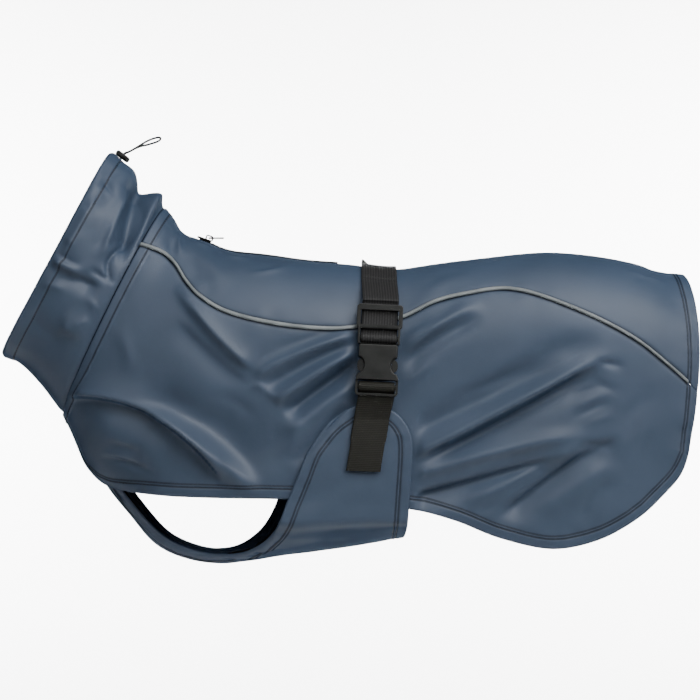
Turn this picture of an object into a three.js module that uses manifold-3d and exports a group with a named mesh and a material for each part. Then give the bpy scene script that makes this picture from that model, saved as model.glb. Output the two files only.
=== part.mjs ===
// A dog's raincoat, worn by no one and holding its worn shape: a wide collar with a drawcord casing,
// a back panel with a closed zip, two side panels, a chest and belly panel whose flaps lie over the
// sides, and an elastic webbing strap over the back that closes with a side-release buckle.
// Millimetres. The tail end is +X, the near side is -Y, and up is +Z. The origin is on the inner face
// of the back panel, where the coat rests on the middle of the back.
import * as THREE from "three";
import { mergeVertices } from "three/addons/utils/BufferGeometryUtils.js";
import Module from "manifold-3d";

// Cloth, seams and hems
const CLOTH = 1.5;
const SEAM_GAP = 0.3;
const HEM_WIDTH = 8.5;
const HEM_EXTRA = 0.9;
const CASING_WIDTH = 11;
const CASING_EXTRA = 1.2;
const PIPING_WIDTH = 3.4;
const PIPING_HEIGHT = 2.2;

// Webbing over the back and down to the flaps
const WEB_WIDTH = 25;
const WEB_THICK = 1.3;
const WEB_X = 20.5;
const WEB_CLEAR = 0.9;
const WEB_END_Z = -143;
const WEB_BACK_END_Z = -129;
const WEB_LEAVES_Z = -13;
const WEB_CURL = { length: 14, reach: 7, high: 4.5 };

// The side-release buckle, on the near side: its middle, and how far it leans tailward and in
const BUCKLE = { x: 19.4, y: -65.6, z: -61, tilt: 0.05, lean: 0.13 };
const FRAME = { half: 15.8, top: 32, low: 14.8, back: 3.6, front: 6.8, round: 2.4 };
const FRAME_WINDOW = { half: 13.1, top: 28, low: 17.6 };
const PLUG = { half: 14.5, low: 4.2, back: 1.6, front: 7 };
const PLUG_WINDOW = { half: 13, low: 4.7 };
const PLUG_BASE = { half: 11.8, low: 1.2, back: 2.7, front: 6.1 };
const ROLLER = { z: 8.5, out: 3.9, radius: 1.9, meets: -0.652 };
const ARM = { inner: 9.3, outer: 11.8, bulge: 13.9, top: 2.4, low: -15.6 };
const GUIDE = { half: 2, low: -9 };
const SOCKET = { half: 13.4, top: 3.9, low: -31.2, flare: 14.6, back: 0.6, front: 8.6, bevel: 1 };
const SOCKET_NOTCH = { x: 15.2, z: -10.55, radius: 6.2 };
const SOCKET_BORE = { half: 12.3, low: -17, back: 2.4, front: 6.4 };
const SOCKET_WINDOW = { half: 13, top: -20.3, low: -29.7, back: 3.5, front: 6.3 };
const LOWER_BAR = { z: -24.9, out: 3.9, radius: 2, meets: -0.983 };

// Zip along the middle of the back
const ZIP_FRONT_X = -110;
const ZIP_REAR_X = -6;
const ZIP_SLOT = 7.5;
const ZIP_TAPE_WIDTH = 24;
const ZIP_TAPE_THICK = 0.9;
const ZIP_CHAIN_WIDTH = 4.6;
const ZIP_CHAIN_TOP = 0.6;
const SLIDER = { x: -105.5, length: 11, nose: 4.2, tail: 3, high: 1.4 };
const CROWN = { front: 0.6, rear: 6.2, width: 1.8, high: 3.2, bar: 1 };
const PULL = { eye: 4, length: 10.5, half: 2.4, thick: 1, pin: 0.55, arm: 1.05 };

// The cord lock on top of the collar's casing, and the elastic loop that comes up through it
const LOCK = { x: -165.5, length: 11.5, width: 8.4, high: 4.2, slot: 4.8, slotWide: 2.4, lift: 0.8 };
const CORD_WIDTH = 1.6;
const CORD_STEPS = 56;

// How finely the walls are divided
const BODY_COLUMNS = 34;
const BACK_HALF_ROWS = 6;
const SIDE_ROWS = 12;
const COLLAR_ROUND = 36;
const COLLAR_ROWS = 10;
const BELLY_COLUMNS = 32;
const BELLY_HALF_ROWS = 7;
const PIPING_SIDES = 6;
const SECTION_STEPS = 48;
const ROUNDNESS = 2.15;

const NEAR = -1;
const FAR = 1;

// The coat's body, one row for each line from the middle of the back (top) down to its lower edge
// (hem). halfWidth is the widest half, shoulder how far below the top it is reached, hemY the half
// width at the edge, close how the section turns in below, and bow how far the line bows tailward.
const BODY_ROWS = [
  {
    topX: -133, topZ: 42, hemX: -206, hemZ: -106, hemY: 0.2,
    halfWidth: 50, shoulder: 82, close: 0.5, bow: 0,
  },
  {
    topX: -127.2, topZ: 35, hemX: -198, hemZ: -122, hemY: 7,
    halfWidth: 53, shoulder: 80, close: 0.5, bow: 0,
  },
  {
    topX: -119.5, topZ: 24, hemX: -186, hemZ: -145, hemY: 15,
    halfWidth: 57, shoulder: 76, close: 0.55, bow: 0,
  },
  {
    topX: -103, topZ: 17.5, hemX: -167, hemZ: -157.5, hemY: 30,
    halfWidth: 61, shoulder: 71, close: 0.65, bow: 0,
  },
  {
    topX: -86, topZ: 11, hemX: -132, hemZ: -161, hemY: 56.5,
    halfWidth: 65, shoulder: 66, close: 0.85, bow: 0,
  },
  { topX: -60, topZ: 8, hemX: -92, hemZ: -162.5, hemY: 61, halfWidth: 67, shoulder: 63, close: 1, bow: 0 },
  { topX: -30, topZ: 4, hemX: -50, hemZ: -163, hemY: 63, halfWidth: 67, shoulder: 62, close: 1, bow: 0 },
  { topX: 0, topZ: 2.4, hemX: -6, hemZ: -165, hemY: 62, halfWidth: 66, shoulder: 62, close: 1, bow: 0 },
  { topX: 31, topZ: -0.7, hemX: 40, hemZ: -170, hemY: 61, halfWidth: 65, shoulder: 62, close: 1, bow: 0 },
  { topX: 62, topZ: 2, hemX: 72, hemZ: -178, hemY: 60, halfWidth: 66, shoulder: 62, close: 1, bow: 0 },
  { topX: 92, topZ: 6, hemX: 104, hemZ: -190.5, hemY: 59, halfWidth: 67, shoulder: 63, close: 1, bow: 0 },
  { topX: 122, topZ: 9, hemX: 140, hemZ: -198, hemY: 58, halfWidth: 68, shoulder: 64, close: 1, bow: 0 },
  { topX: 150, topZ: 9.8, hemX: 172, hemZ: -192, hemY: 57, halfWidth: 68, shoulder: 64, close: 1, bow: 1 },
  { topX: 178, topZ: 7.5, hemX: 200, hemZ: -177, hemY: 55, halfWidth: 66, shoulder: 64, close: 1, bow: 2 },
  { topX: 203, topZ: 2.5, hemX: 219, hemZ: -160, hemY: 53, halfWidth: 63, shoulder: 62, close: 1, bow: 3 },
  { topX: 224, topZ: -4.5, hemX: 231, hemZ: -146, hemY: 51, halfWidth: 59, shoulder: 60, close: 1, bow: 4 },
  {
    topX: 239.5, topZ: -6.2, hemX: 236, hemZ: -131, hemY: 49,
    halfWidth: 55, shoulder: 58, close: 1, bow: 5,
  },
];

// The piped seam between the back panel and a side panel, as seen from the side.
const PIPING_ROWS = [
  { x: -152, z: 15 },
  { x: -145, z: 13.5 },
  { x: -131, z: 8 },
  { x: -122, z: 0 },
  { x: -114, z: -12 },
  { x: -105, z: -22 },
  { x: -85, z: -33.5 },
  { x: -48, z: -42.2 },
  { x: -14, z: -45 },
  { x: 8, z: -42.8 },
  { x: 37, z: -36 },
  { x: 58, z: -26.5 },
  { x: 78, z: -21.5 },
  { x: 111, z: -17.7 },
  { x: 148, z: -28.5 },
  { x: 194, z: -50.5 },
  { x: 224, z: -73.5 },
  { x: 250, z: -97 },
];

// The largest folds, as seen from the side: each runs from (x0, z0) to (x1, z1), bowed sideways by
// bend, and stands out by depth, with its flanks fading over above and below.
const NEAR_FOLDS = [
  { x0: -194, z0: -106, x1: -70, z1: -138, bend: 26, above: 20, below: 5, depth: 4.5 },
  { x0: -190, z0: -114, x1: -80, z1: -141, bend: 24, above: 5, below: 13, depth: -3 },
  { x0: -134, z0: -98, x1: -42, z1: -160, bend: -3, above: 9, below: 10, depth: 4 },
  { x0: -150, z0: -14, x1: -62, z1: -78, bend: -3, above: 13, below: 11, depth: 2.6 },
  { x0: -66, z0: -74, x1: 6, z1: -46, bend: -2, above: 7, below: 6, depth: 3.2 },
  { x0: -62, z0: -102, x1: 6, z1: -64, bend: -3, above: 8, below: 8, depth: -4 },
  { x0: -60, z0: -128, x1: 0, z1: -84, bend: 0, above: 9, below: 10, depth: 2.6 },
  { x0: 36, z0: -70, x1: 88, z1: -32, bend: 2, above: 7, below: 7, depth: 2.4 },
  { x0: 40, z0: -90, x1: 118, z1: -62, bend: 4, above: 8, below: 8, depth: -3 },
  { x0: 44, z0: -118, x1: 184, z1: -56, bend: -4, above: 9, below: 8, depth: 4.4 },
  { x0: 44, z0: -140, x1: 190, z1: -64, bend: -5, above: 8, below: 8, depth: -4.4 },
  { x0: 50, z0: -152, x1: 156, z1: -100, bend: -3, above: 8, below: 8, depth: 3.2 },
  { x0: 52, z0: -164, x1: 148, z1: -130, bend: 2, above: 8, below: 8, depth: -3.4 },
  { x0: 96, z0: -176, x1: 188, z1: -118, bend: 5, above: 9, below: 9, depth: -3 },
];
const FAR_FOLDS = [
  { x0: -190, z0: -98, x1: -84, z1: -142, bend: 20, above: 18, below: 6, depth: 4 },
  { x0: -186, z0: -110, x1: -90, z1: -148, bend: 18, above: 6, below: 12, depth: -2.6 },
  { x0: -120, z0: -104, x1: -36, z1: -158, bend: 4, above: 9, below: 9, depth: 3.4 },
  { x0: -140, z0: -22, x1: -48, z1: -70, bend: -4, above: 12, below: 11, depth: 2.4 },
  { x0: -58, z0: -66, x1: 6, z1: -52, bend: -2, above: 7, below: 7, depth: 2.8 },
  { x0: -66, z0: -94, x1: 6, z1: -70, bend: 3, above: 8, below: 8, depth: -3.6 },
  { x0: 36, z0: -60, x1: 96, z1: -36, bend: -3, above: 8, below: 7, depth: 2.2 },
  { x0: 40, z0: -84, x1: 136, z1: -54, bend: 5, above: 8, below: 9, depth: -3.2 },
  { x0: 44, z0: -108, x1: 172, z1: -72, bend: -5, above: 9, below: 9, depth: 4 },
  { x0: 46, z0: -130, x1: 176, z1: -88, bend: -4, above: 8, below: 8, depth: -3.8 },
  { x0: 52, z0: -156, x1: 150, z1: -112, bend: 3, above: 9, below: 9, depth: 3 },
  { x0: 80, z0: -174, x1: 172, z1: -134, bend: 4, above: 9, below: 9, depth: -2.8 },
];

// The strap draws the cloth in where it crosses the back and sides.
const CINCH = { depth: -3, reach: 30, topZ: 30, lowZ: -120 };

// The collar's rings, from the neck seam to the opening. dish moves a ring's sides towards the coat.
const COLLAR_ROWS_TABLE = [
  { topX: -133, topZ: 42, lowX: -206, lowZ: -106, halfWidth: 50, dish: 0 },
  { topX: -145.5, topZ: 55.5, lowX: -222.5, lowZ: -84.5, halfWidth: 52, dish: 1.5 },
  { topX: -158.5, topZ: 69.5, lowX: -237, lowZ: -70, halfWidth: 53, dish: 3 },
  { topX: -171, topZ: 82.5, lowX: -250, lowZ: -64, halfWidth: 51, dish: 4.5 },
];
const COLLAR_FOLDS = {
  [NEAR]: [
    { x0: -136, z0: 84, x1: -156, z1: -12, bend: -5, above: 5, below: 5, depth: -6.5 },
    { x0: -146, z0: 92, x1: -174, z1: -2, bend: -6, above: 7, below: 7, depth: 2 },
    { x0: -129, z0: 74, x1: -149, z1: 0, bend: -3, above: 5, below: 6, depth: 3.5 },
    { x0: -214, z0: 12, x1: -176, z1: -8, bend: 2, above: 8, below: 7, depth: 2.6 },
    { x0: -206, z0: -6, x1: -178, z1: -24, bend: 2, above: 7, below: 8, depth: -3 },
    { x0: -222, z0: -44, x1: -176, z1: -38, bend: 3, above: 9, below: 9, depth: 2 },
  ],
  [FAR]: [
    { x0: -136, z0: 84, x1: -161, z1: -2, bend: -4, above: 5, below: 5, depth: -6.5 },
    { x0: -146, z0: 92, x1: -178, z1: 10, bend: -5, above: 7, below: 7, depth: 2 },
    { x0: -129, z0: 74, x1: -153, z1: 8, bend: -3, above: 5, below: 6, depth: 3.5 },
    { x0: -216, z0: 2, x1: -178, z1: -18, bend: 3, above: 8, below: 8, depth: 2.4 },
    { x0: -216, z0: -24, x1: -180, z1: -36, bend: -2, above: 8, below: 8, depth: -2.4 },
    { x0: -224, z0: -52, x1: -184, z1: -52, bend: 3, above: 8, below: 8, depth: 2 },
  ],
};

// The chest and belly panel, one row for each line from its middle (low) out to its edge. shift
// moves the far edge, whose flap lies a little further forward than the near one.
const BELLY_ROWS = [
  { topX: -201.5, topZ: -106.5, hemX: -198.5, hemZ: -99, hemY: 15, halfWidth: 15, shoulder: 7, shift: 0 },
  { topX: -193, topZ: -121, hemX: -187, hemZ: -112, hemY: 21, halfWidth: 21, shoulder: 10, shift: 0 },
  { topX: -182, topZ: -142, hemX: -174, hemZ: -134, hemY: 25, halfWidth: 25, shoulder: 11, shift: 0 },
  { topX: -172.5, topZ: -159, hemX: -165, hemZ: -152.5, hemY: 26, halfWidth: 26, shoulder: 9.5, shift: 0 },
  { topX: -158, topZ: -177, hemX: -151.5, hemZ: -171, hemY: 24, halfWidth: 24, shoulder: 8.6, shift: 0 },
  { topX: -140, topZ: -198, hemX: -134, hemZ: -190.5, hemY: 22, halfWidth: 22, shoulder: 9, shift: 0 },
  { topX: -120, topZ: -208.5, hemX: -117, hemZ: -200, hemY: 21, halfWidth: 21, shoulder: 8.6, shift: 0 },
  { topX: -97, topZ: -212.5, hemX: -95, hemZ: -204.5, hemY: 22, halfWidth: 22, shoulder: 8, shift: -2 },
  { topX: -76, topZ: -210.5, hemX: -72, hemZ: -201, hemY: 33, halfWidth: 33, shoulder: 9.5, shift: -6 },
  { topX: -60, topZ: -208.5, hemX: -53, hemZ: -186, hemY: 50, halfWidth: 50, shoulder: 23, shift: -8 },
  { topX: -46, topZ: -207, hemX: -42, hemZ: -161, hemY: 63, halfWidth: 63, shoulder: 42, shift: -8 },
  { topX: -33, topZ: -205.5, hemX: -31, hemZ: -135, hemY: 68, halfWidth: 68, shoulder: 50, shift: -6 },
  { topX: -20, topZ: -203.5, hemX: -17, hemZ: -111, hemY: 68, halfWidth: 68, shoulder: 52, shift: -4 },
  { topX: -6, topZ: -201.5, hemX: 0, hemZ: -99.5, hemY: 67, halfWidth: 68, shoulder: 52, shift: -2 },
  { topX: 8, topZ: -199.5, hemX: 17, hemZ: -97, hemY: 67, halfWidth: 68, shoulder: 52, shift: 0 },
  { topX: 21, topZ: -197.5, hemX: 33, hemZ: -104, hemY: 67, halfWidth: 68, shoulder: 52, shift: 0 },
  { topX: 31, topZ: -195.5, hemX: 41.5, hemZ: -116, hemY: 67, halfWidth: 67, shoulder: 50, shift: 0 },
  { topX: 39, topZ: -194, hemX: 43.5, hemZ: -128, hemY: 67, halfWidth: 67, shoulder: 49, shift: 0 },
];
const LAP = SEAM_GAP + 0.4 + HEM_EXTRA + CLOTH;
const LAP_FADE = { low: -192, high: -177 };

// Where the near flap's front edge lies, so that the folds fade out before it.
const FLAP_EDGE = { x0: 8, z0: -97, x1: -45, z1: -165, reach: 12 };

// One strand of the cord loop: its middle line as seen from the side, how far the strand stands to
// its side of it (spread), and how far above or below it (open). The other strand mirrors it.
const CORD_ROWS = [
  { x: -159.4, z: 82.6, spread: 1.15, open: 0.1 },
  { x: -156, z: 84.4, spread: 1.05, open: 0.2 },
  { x: -151.5, z: 86.8, spread: 1, open: 0.5 },
  { x: -146, z: 89.1, spread: 1.7, open: 1.6 },
  { x: -141, z: 90.8, spread: 2.1, open: 1.9 },
  { x: -137.6, z: 91.8, spread: 1.5, open: 1.4 },
];
const CORD_TIP = { x: -136.4, z: 92.1 };

const cloth = new THREE.MeshStandardMaterial({ color: 0x3f4f66, roughness: 0.42, metalness: 0 });
const piped = new THREE.MeshStandardMaterial({ color: 0x9aa0a3, roughness: 0.45, metalness: 0.1 });
const webbing = new THREE.MeshStandardMaterial({ color: 0x262626, roughness: 0.85, metalness: 0 });
const plastic = new THREE.MeshStandardMaterial({ color: 0x232423, roughness: 0.4, metalness: 0 });
const zipMetal = new THREE.MeshStandardMaterial({ color: 0x1c1c1e, roughness: 0.35, metalness: 0.6 });

const { lerp, clamp, smoothstep } = THREE.MathUtils;

// Catmull-Rom between four numbers.
function cubic(a, b, c, d, t) {
  return b + 0.5 * t * (c - a + t * (2 * a - 5 * b + 4 * c - d + t * (3 * (b - c) + d - a)));
}

// A row of a table at any place between its rows, counted in rows.
function rowAt(rows, place) {
  const last = rows.length - 1;
  const i = clamp(Math.floor(place), 0, last - 1);
  const t = place - i;
  const row = {};
  for (const key of Object.keys(rows[0])) {
    const at = (j) => rows[clamp(j, 0, last)][key];
    const before = i > 0 ? at(i - 1) : 2 * at(0) - at(1);
    const after = i < last - 1 ? at(i + 2) : 2 * at(last) - at(last - 1);
    row[key] = cubic(before, at(i), at(i + 1), after, t);
  }
  return row;
}

// The height of the piped seam at a place along the coat.
function pipingZ(x) {
  const last = PIPING_ROWS.length - 1;
  let i = 0;
  while (i < last - 1 && PIPING_ROWS[i + 1].x < x) i += 1;
  const at = (j) => PIPING_ROWS[clamp(j, 0, last)];
  const slope = (j) => (at(j + 1).z - at(j - 1).z) / (at(j + 1).x - at(j - 1).x);
  const span = at(i + 1).x - at(i).x;
  const t = clamp((x - at(i).x) / span, 0, 1);
  const rise = t * t * (3 - 2 * t);
  return (
    lerp(at(i).z, at(i + 1).z, rise) +
    span * t * (1 - t) * ((1 - t) * slope(i) - t * slope(i + 1))
  );
}

// A point of a section: share 0 to 1 rounds the top, and 1 to 2 runs down to the edge.
function sectionPoint(row, p, side) {
  const fall = Math.hypot(row.hemX - row.topX, row.hemZ - row.topZ);
  const turned = Math.min(1, row.shoulder / fall);
  const power = 2 / ROUNDNESS;
  const angle = ((p > 1 ? p - 1 : p) * Math.PI) / 2;
  const close = row.close ?? 1;
  let share = turned * (1 - Math.max(0, Math.cos(angle)) ** power);
  let half = row.halfWidth * Math.sin(angle) ** power;
  if (p > 1) {
    share = turned + (1 - turned) * Math.sin(angle);
    half = row.hemY + (row.halfWidth - row.hemY) * Math.max(0, Math.cos(angle)) ** (2 * close);
  }
  const bow = (row.bow ?? 0) * 4 * share * (1 - share);
  const shift = side === FAR ? (row.shift ?? 0) * share : 0;
  return new THREE.Vector3(
    lerp(row.topX, row.hemX, share) + bow + shift,
    side * half,
    lerp(row.topZ, row.hemZ, share),
  );
}

// One line of a panel with its running length, so that it can be divided evenly.
function measuredLine(rows, place, side) {
  const row = rowAt(rows, place);
  const points = [];
  const lengths = [0];
  for (let i = 0; i <= SECTION_STEPS; i += 1) {
    points.push(sectionPoint(row, (2 * i) / SECTION_STEPS, side));
    if (i > 0) lengths.push(lengths[i - 1] + points[i].distanceTo(points[i - 1]));
  }
  return { points, lengths, total: lengths[SECTION_STEPS] };
}

function pointAlong(line, length) {
  const { points, lengths } = line;
  let i = 1;
  while (i < SECTION_STEPS && lengths[i] < length) i += 1;
  const t = (length - lengths[i - 1]) / (lengths[i] - lengths[i - 1] || 1);
  return points[i - 1].clone().lerp(points[i], clamp(t, 0, 1));
}

// Where a line of the body crosses the piped seam, as a length from the middle of the back.
function pipingLength(line) {
  const above = (i) => line.points[i].z - pipingZ(line.points[i].x);
  let i = 1;
  while (i < SECTION_STEPS && above(i) > 0) i += 1;
  const t = above(i - 1) / (above(i - 1) - above(i));
  return lerp(line.lengths[i - 1], line.lengths[i], clamp(t, 0, 1));
}

// How far the folds of a list move a point out, by its place as seen from the side.
function foldDepth(folds, x, z) {
  let depth = 0;
  for (const f of folds) {
    const dx = f.x1 - f.x0;
    const dz = f.z1 - f.z0;
    const long = Math.hypot(dx, dz);
    const t = ((x - f.x0) * dx + (z - f.z0) * dz) / (long * long);
    if (t <= 0 || t >= 1) continue;
    const across = ((z - f.z0) * dx - (x - f.x0) * dz) / long - f.bend * 4 * t * (1 - t);
    const width = across > 0 ? f.above : f.below;
    const ends = smoothstep(t, 0, 0.3) * smoothstep(1 - t, 0, 0.3);
    depth += f.depth * ends * Math.exp(-((across / width) ** 2));
  }
  return depth;
}

function cinchDepth(x, z) {
  const along = Math.exp(-(((x - WEB_X) / CINCH.reach) ** 2));
  const height = smoothstep(z, CINCH.lowZ - 20, CINCH.lowZ + 20) * smoothstep(CINCH.topZ - z, 0, 60);
  return CINCH.depth * along * height;
}

// The folds fade out towards the strap, so that the webbing and the flap lie flat on the cloth.
function coatDepth(point, side) {
  const { x, z } = point;
  const { x0, z0, x1, z1, reach } = FLAP_EDGE;
  const flapX = lerp(x0, x1, clamp((z - z0) / (z1 - z0), 0, 1));
  const underFlap = smoothstep(x, flapX - reach, flapX) * (1 - smoothstep(x, 48, 60));
  const away = smoothstep(Math.abs(x - WEB_X), 13, 34) * (1 - underFlap * smoothstep(-z, 84, 98));
  return foldDepth(side === NEAR ? NEAR_FOLDS : FAR_FOLDS, x, z) * away + cinchDepth(x, z);
}

function normalOf(surface, u, v, side) {
  const du = 0.02;
  const dv = 0.01;
  const alongU = surface(u + du, v).sub(surface(u - du, v));
  const alongV = surface(u, v + dv).sub(surface(u, v - dv));
  return alongU.cross(alongV).normalize().multiplyScalar(side === NEAR ? -1 : 1);
}

const lastBody = BODY_ROWS.length - 1;

// The outer face of the coat's body before its folds: share is how far down the line it lies.
function bodyBase(u, share, side) {
  const line = measuredLine(BODY_ROWS, clamp(u, 0, lastBody), side);
  const length = share * line.total;
  if (length >= 0) return pointAlong(line, length);
  return pointAlong(line, -length).multiply(new THREE.Vector3(1, -1, 1));
}

// A point of the coat's body, moved out from its outer face by out.
function bodyPoint(u, share, side, out) {
  const base = bodyBase(u, share, side);
  const normal = normalOf((a, b) => bodyBase(a, Math.min(b, 1), side), u, share, side);
  return base.addScaledVector(normal, coatDepth(base, side) + out);
}

// The half width of the coat's outer face at a place as seen from the side.
function bodyHalfWidth(x, z, side) {
  const place = (u) => {
    const row = rowAt(BODY_ROWS, u);
    const share = clamp((z - row.topZ) / (row.hemZ - row.topZ), 0, 1);
    return { row, share, x: lerp(row.topX, row.hemX, share) + row.bow * 4 * share * (1 - share) };
  };
  let low = 0;
  let high = lastBody;
  for (let i = 0; i < 24; i += 1) {
    const middle = (low + high) / 2;
    if (place(middle).x < x) low = middle;
    else high = middle;
  }
  const { row, share } = place(low);
  const turned = row.shoulder / Math.hypot(row.hemX - row.topX, row.hemZ - row.topZ);
  let half = row.halfWidth * (1 - Math.max(0, 1 - share / turned) ** ROUNDNESS) ** (1 / ROUNDNESS);
  if (share > turned) {
    const run = (share - turned) / (1 - turned);
    half = row.hemY + (row.halfWidth - row.hemY) * Math.max(0, 1 - run * run) ** row.close;
  }
  return half + coatDepth({ x, z }, side);
}

// A point over the coat's side at a place as seen from the side, moved out from it by out.
function overSide(x, z, side, out) {
  const step = 0.5;
  const half = (a, b) => bodyHalfWidth(a, b, side);
  const alongX = (half(x + step, z) - half(x - step, z)) / (2 * step);
  const alongZ = (half(x, z + step) - half(x, z - step)) / (2 * step);
  const normal = new THREE.Vector3(-alongX, side, -alongZ).normalize();
  return new THREE.Vector3(x, side * half(x, z), z).addScaledVector(normal, out);
}

// A closed wall between a grid of outer points and a grid of inner points.
function wall(outer, inner, ring = false) {
  const rows = outer.length;
  const columns = outer[0].length;
  const position = [];
  for (const grid of [outer, inner]) {
    for (const line of grid) for (const p of line) position.push(p.x, p.y, p.z);
  }
  const at = (face, i, j) => face * rows * columns + i * columns + (ring ? j % columns : j);
  const index = [];
  const quad = (a, b, c, d) => index.push(a, b, c, a, c, d);
  const across = ring ? columns : columns - 1;
  for (let i = 0; i + 1 < rows; i += 1) {
    for (let j = 0; j < across; j += 1) {
      quad(at(0, i, j), at(0, i + 1, j), at(0, i + 1, j + 1), at(0, i, j + 1));
      quad(at(1, i, j), at(1, i, j + 1), at(1, i + 1, j + 1), at(1, i + 1, j));
    }
    if (!ring) {
      quad(at(0, i, 0), at(1, i, 0), at(1, i + 1, 0), at(0, i + 1, 0));
      quad(at(0, i, across), at(0, i + 1, across), at(1, i + 1, across), at(1, i, across));
    }
  }
  for (let j = 0; j < across; j += 1) {
    quad(at(0, 0, j), at(0, 0, j + 1), at(1, 0, j + 1), at(1, 0, j));
    quad(at(0, rows - 1, j), at(1, rows - 1, j), at(1, rows - 1, j + 1), at(0, rows - 1, j + 1));
  }
  const geometry = new THREE.BufferGeometry();
  geometry.setAttribute("position", new THREE.Float32BufferAttribute(position, 3));
  geometry.setIndex(index);
  return facingOut(geometry);
}

// Turns a closed geometry's faces outwards.
function facingOut(geometry) {
  const p = geometry.getAttribute("position");
  const index = geometry.getIndex().array;
  const [a, b, c] = [new THREE.Vector3(), new THREE.Vector3(), new THREE.Vector3()];
  let volume = 0;
  for (let i = 0; i < index.length; i += 3) {
    [a, b, c].forEach((v, k) => v.fromBufferAttribute(p, index[i + k]));
    volume += a.dot(b.cross(c));
  }
  if (volume < 0) {
    for (let i = 0; i < index.length; i += 3) {
      [index[i + 1], index[i + 2]] = [index[i + 2], index[i + 1]];
    }
  }
  return geometry;
}

const wasm = await Module();
wasm.setup();

function toSolid(geometry) {
  const bare = geometry.clone();
  bare.deleteAttribute("normal");
  bare.deleteAttribute("uv");
  const merged = mergeVertices(bare, 1e-4);
  return new wasm.Manifold(
    new wasm.Mesh({
      numProp: 3,
      vertProperties: merged.getAttribute("position").array,
      triVerts: new Uint32Array(merged.getIndex().array),
    }),
  );
}

function toGeometry(solid) {
  const mesh = solid.getMesh();
  const geometry = new THREE.BufferGeometry();
  geometry.setAttribute("position", new THREE.Float32BufferAttribute(mesh.vertProperties, 3));
  geometry.setIndex(new THREE.Uint32BufferAttribute(mesh.triVerts, 1));
  return geometry;
}

function named(name, geometry, material) {
  const mesh = new THREE.Mesh(geometry, material);
  mesh.name = name;
  return mesh;
}

// Even steps from one number to another, with the last step ending at a hem's inner edge.
function steps(from, to, count) {
  return Array.from({ length: count + 1 }, (_, i) => lerp(from, to, i / count));
}

// The lines of the body: even, then the tail hem's inner edge and the tail itself.
const HEM_STEP_U = 0.5;
const bodyLines = [
  ...steps(0, lastBody - HEM_STEP_U, BODY_COLUMNS),
  lastBody - HEM_STEP_U + 0.08,
  lastBody,
];
const inTailHem = (u) => u > lastBody - HEM_STEP_U;

// The wall goes inwards from the outer face, and a turned hem is thicker.
const bodyThickness = (u, fromEdge) =>
  CLOTH + (inTailHem(u) || fromEdge < HEM_WIDTH ? HEM_EXTRA : 0);

function backPanel() {
  const outer = [];
  const inner = [];
  for (const u of bodyLines) {
    const outerLine = [];
    const innerLine = [];
    for (let j = -BACK_HALF_ROWS; j <= BACK_HALF_ROWS; j += 1) {
      const side = j < 0 ? NEAR : FAR;
      const line = measuredLine(BODY_ROWS, u, side);
      const edge = (pipingLength(line) - SEAM_GAP / 2) / line.total;
      const share = (Math.abs(j) / BACK_HALF_ROWS) * edge;
      outerLine.push(bodyPoint(u, share, side, 0));
      innerLine.push(bodyPoint(u, share, side, -bodyThickness(u, Infinity)));
    }
    outer.push(outerLine);
    inner.push(innerLine);
  }
  const slot = new THREE.Shape();
  const r = ZIP_SLOT / 2;
  slot.absarc(ZIP_FRONT_X + r, 0, r, Math.PI / 2, (3 * Math.PI) / 2);
  slot.absarc(ZIP_REAR_X - r, 0, r, -Math.PI / 2, Math.PI / 2);
  const cutter = new THREE.ExtrudeGeometry(slot, { depth: 80, bevelEnabled: false, curveSegments: 4 });
  cutter.translate(0, 0, -30);
  return toGeometry(toSolid(wall(outer, inner)).subtract(toSolid(indexed(cutter))));
}

function indexed(geometry) {
  const bare = geometry.clone();
  bare.deleteAttribute("normal");
  bare.deleteAttribute("uv");
  return mergeVertices(bare, 1e-4);
}

function sidePanel(side) {
  const outer = [];
  const inner = [];
  for (const u of bodyLines) {
    const line = measuredLine(BODY_ROWS, u, side);
    const from = pipingLength(line) + SEAM_GAP / 2;
    const hemInner = line.total - HEM_WIDTH;
    const lengths = [...steps(from, hemInner, SIDE_ROWS), hemInner + 0.8, line.total];
    outer.push(lengths.map((s) => bodyPoint(u, s / line.total, side, 0)));
    inner.push(
      lengths.map((s) => bodyPoint(u, s / line.total, side, -bodyThickness(u, line.total - s))),
    );
  }
  return wall(outer, inner);
}

// A cord laid over the seam, flat below, from the neck seam to the tail hem's inner edge.
function piping(side) {
  const rings = [];
  for (const u of bodyLines.filter((place) => !inTailHem(place))) {
    const line = measuredLine(BODY_ROWS, u, side);
    const middle = pipingLength(line);
    const ring = [];
    for (let k = 0; k < PIPING_SIDES; k += 1) {
      const angle = (Math.PI * k) / (PIPING_SIDES - 1);
      const across = (Math.cos(angle) * PIPING_WIDTH) / 2;
      const out = SEAM_GAP + Math.sin(angle) * PIPING_HEIGHT;
      ring.push(bodyPoint(u, (middle + across) / line.total, side, out));
    }
    rings.push(ring);
  }
  return tube(rings);
}

// A closed tube through rings of points.
function tube(rings) {
  const count = rings[0].length;
  const position = rings.flat().flatMap((p) => [p.x, p.y, p.z]);
  const index = [];
  for (let i = 0; i + 1 < rings.length; i += 1) {
    for (let j = 0; j < count; j += 1) {
      const k = (j + 1) % count;
      const [a, b, c, d] = [i * count + j, (i + 1) * count + j, (i + 1) * count + k, i * count + k];
      index.push(a, b, c, a, c, d);
    }
  }
  const last = (rings.length - 1) * count;
  for (let j = 1; j + 1 < count; j += 1) {
    index.push(0, j, j + 1, last, last + j + 1, last + j);
  }
  const geometry = new THREE.BufferGeometry();
  geometry.setAttribute("position", new THREE.Float32BufferAttribute(position, 3));
  geometry.setIndex(index);
  return facingOut(geometry);
}

const lastCollar = COLLAR_ROWS_TABLE.length - 1;

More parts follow.
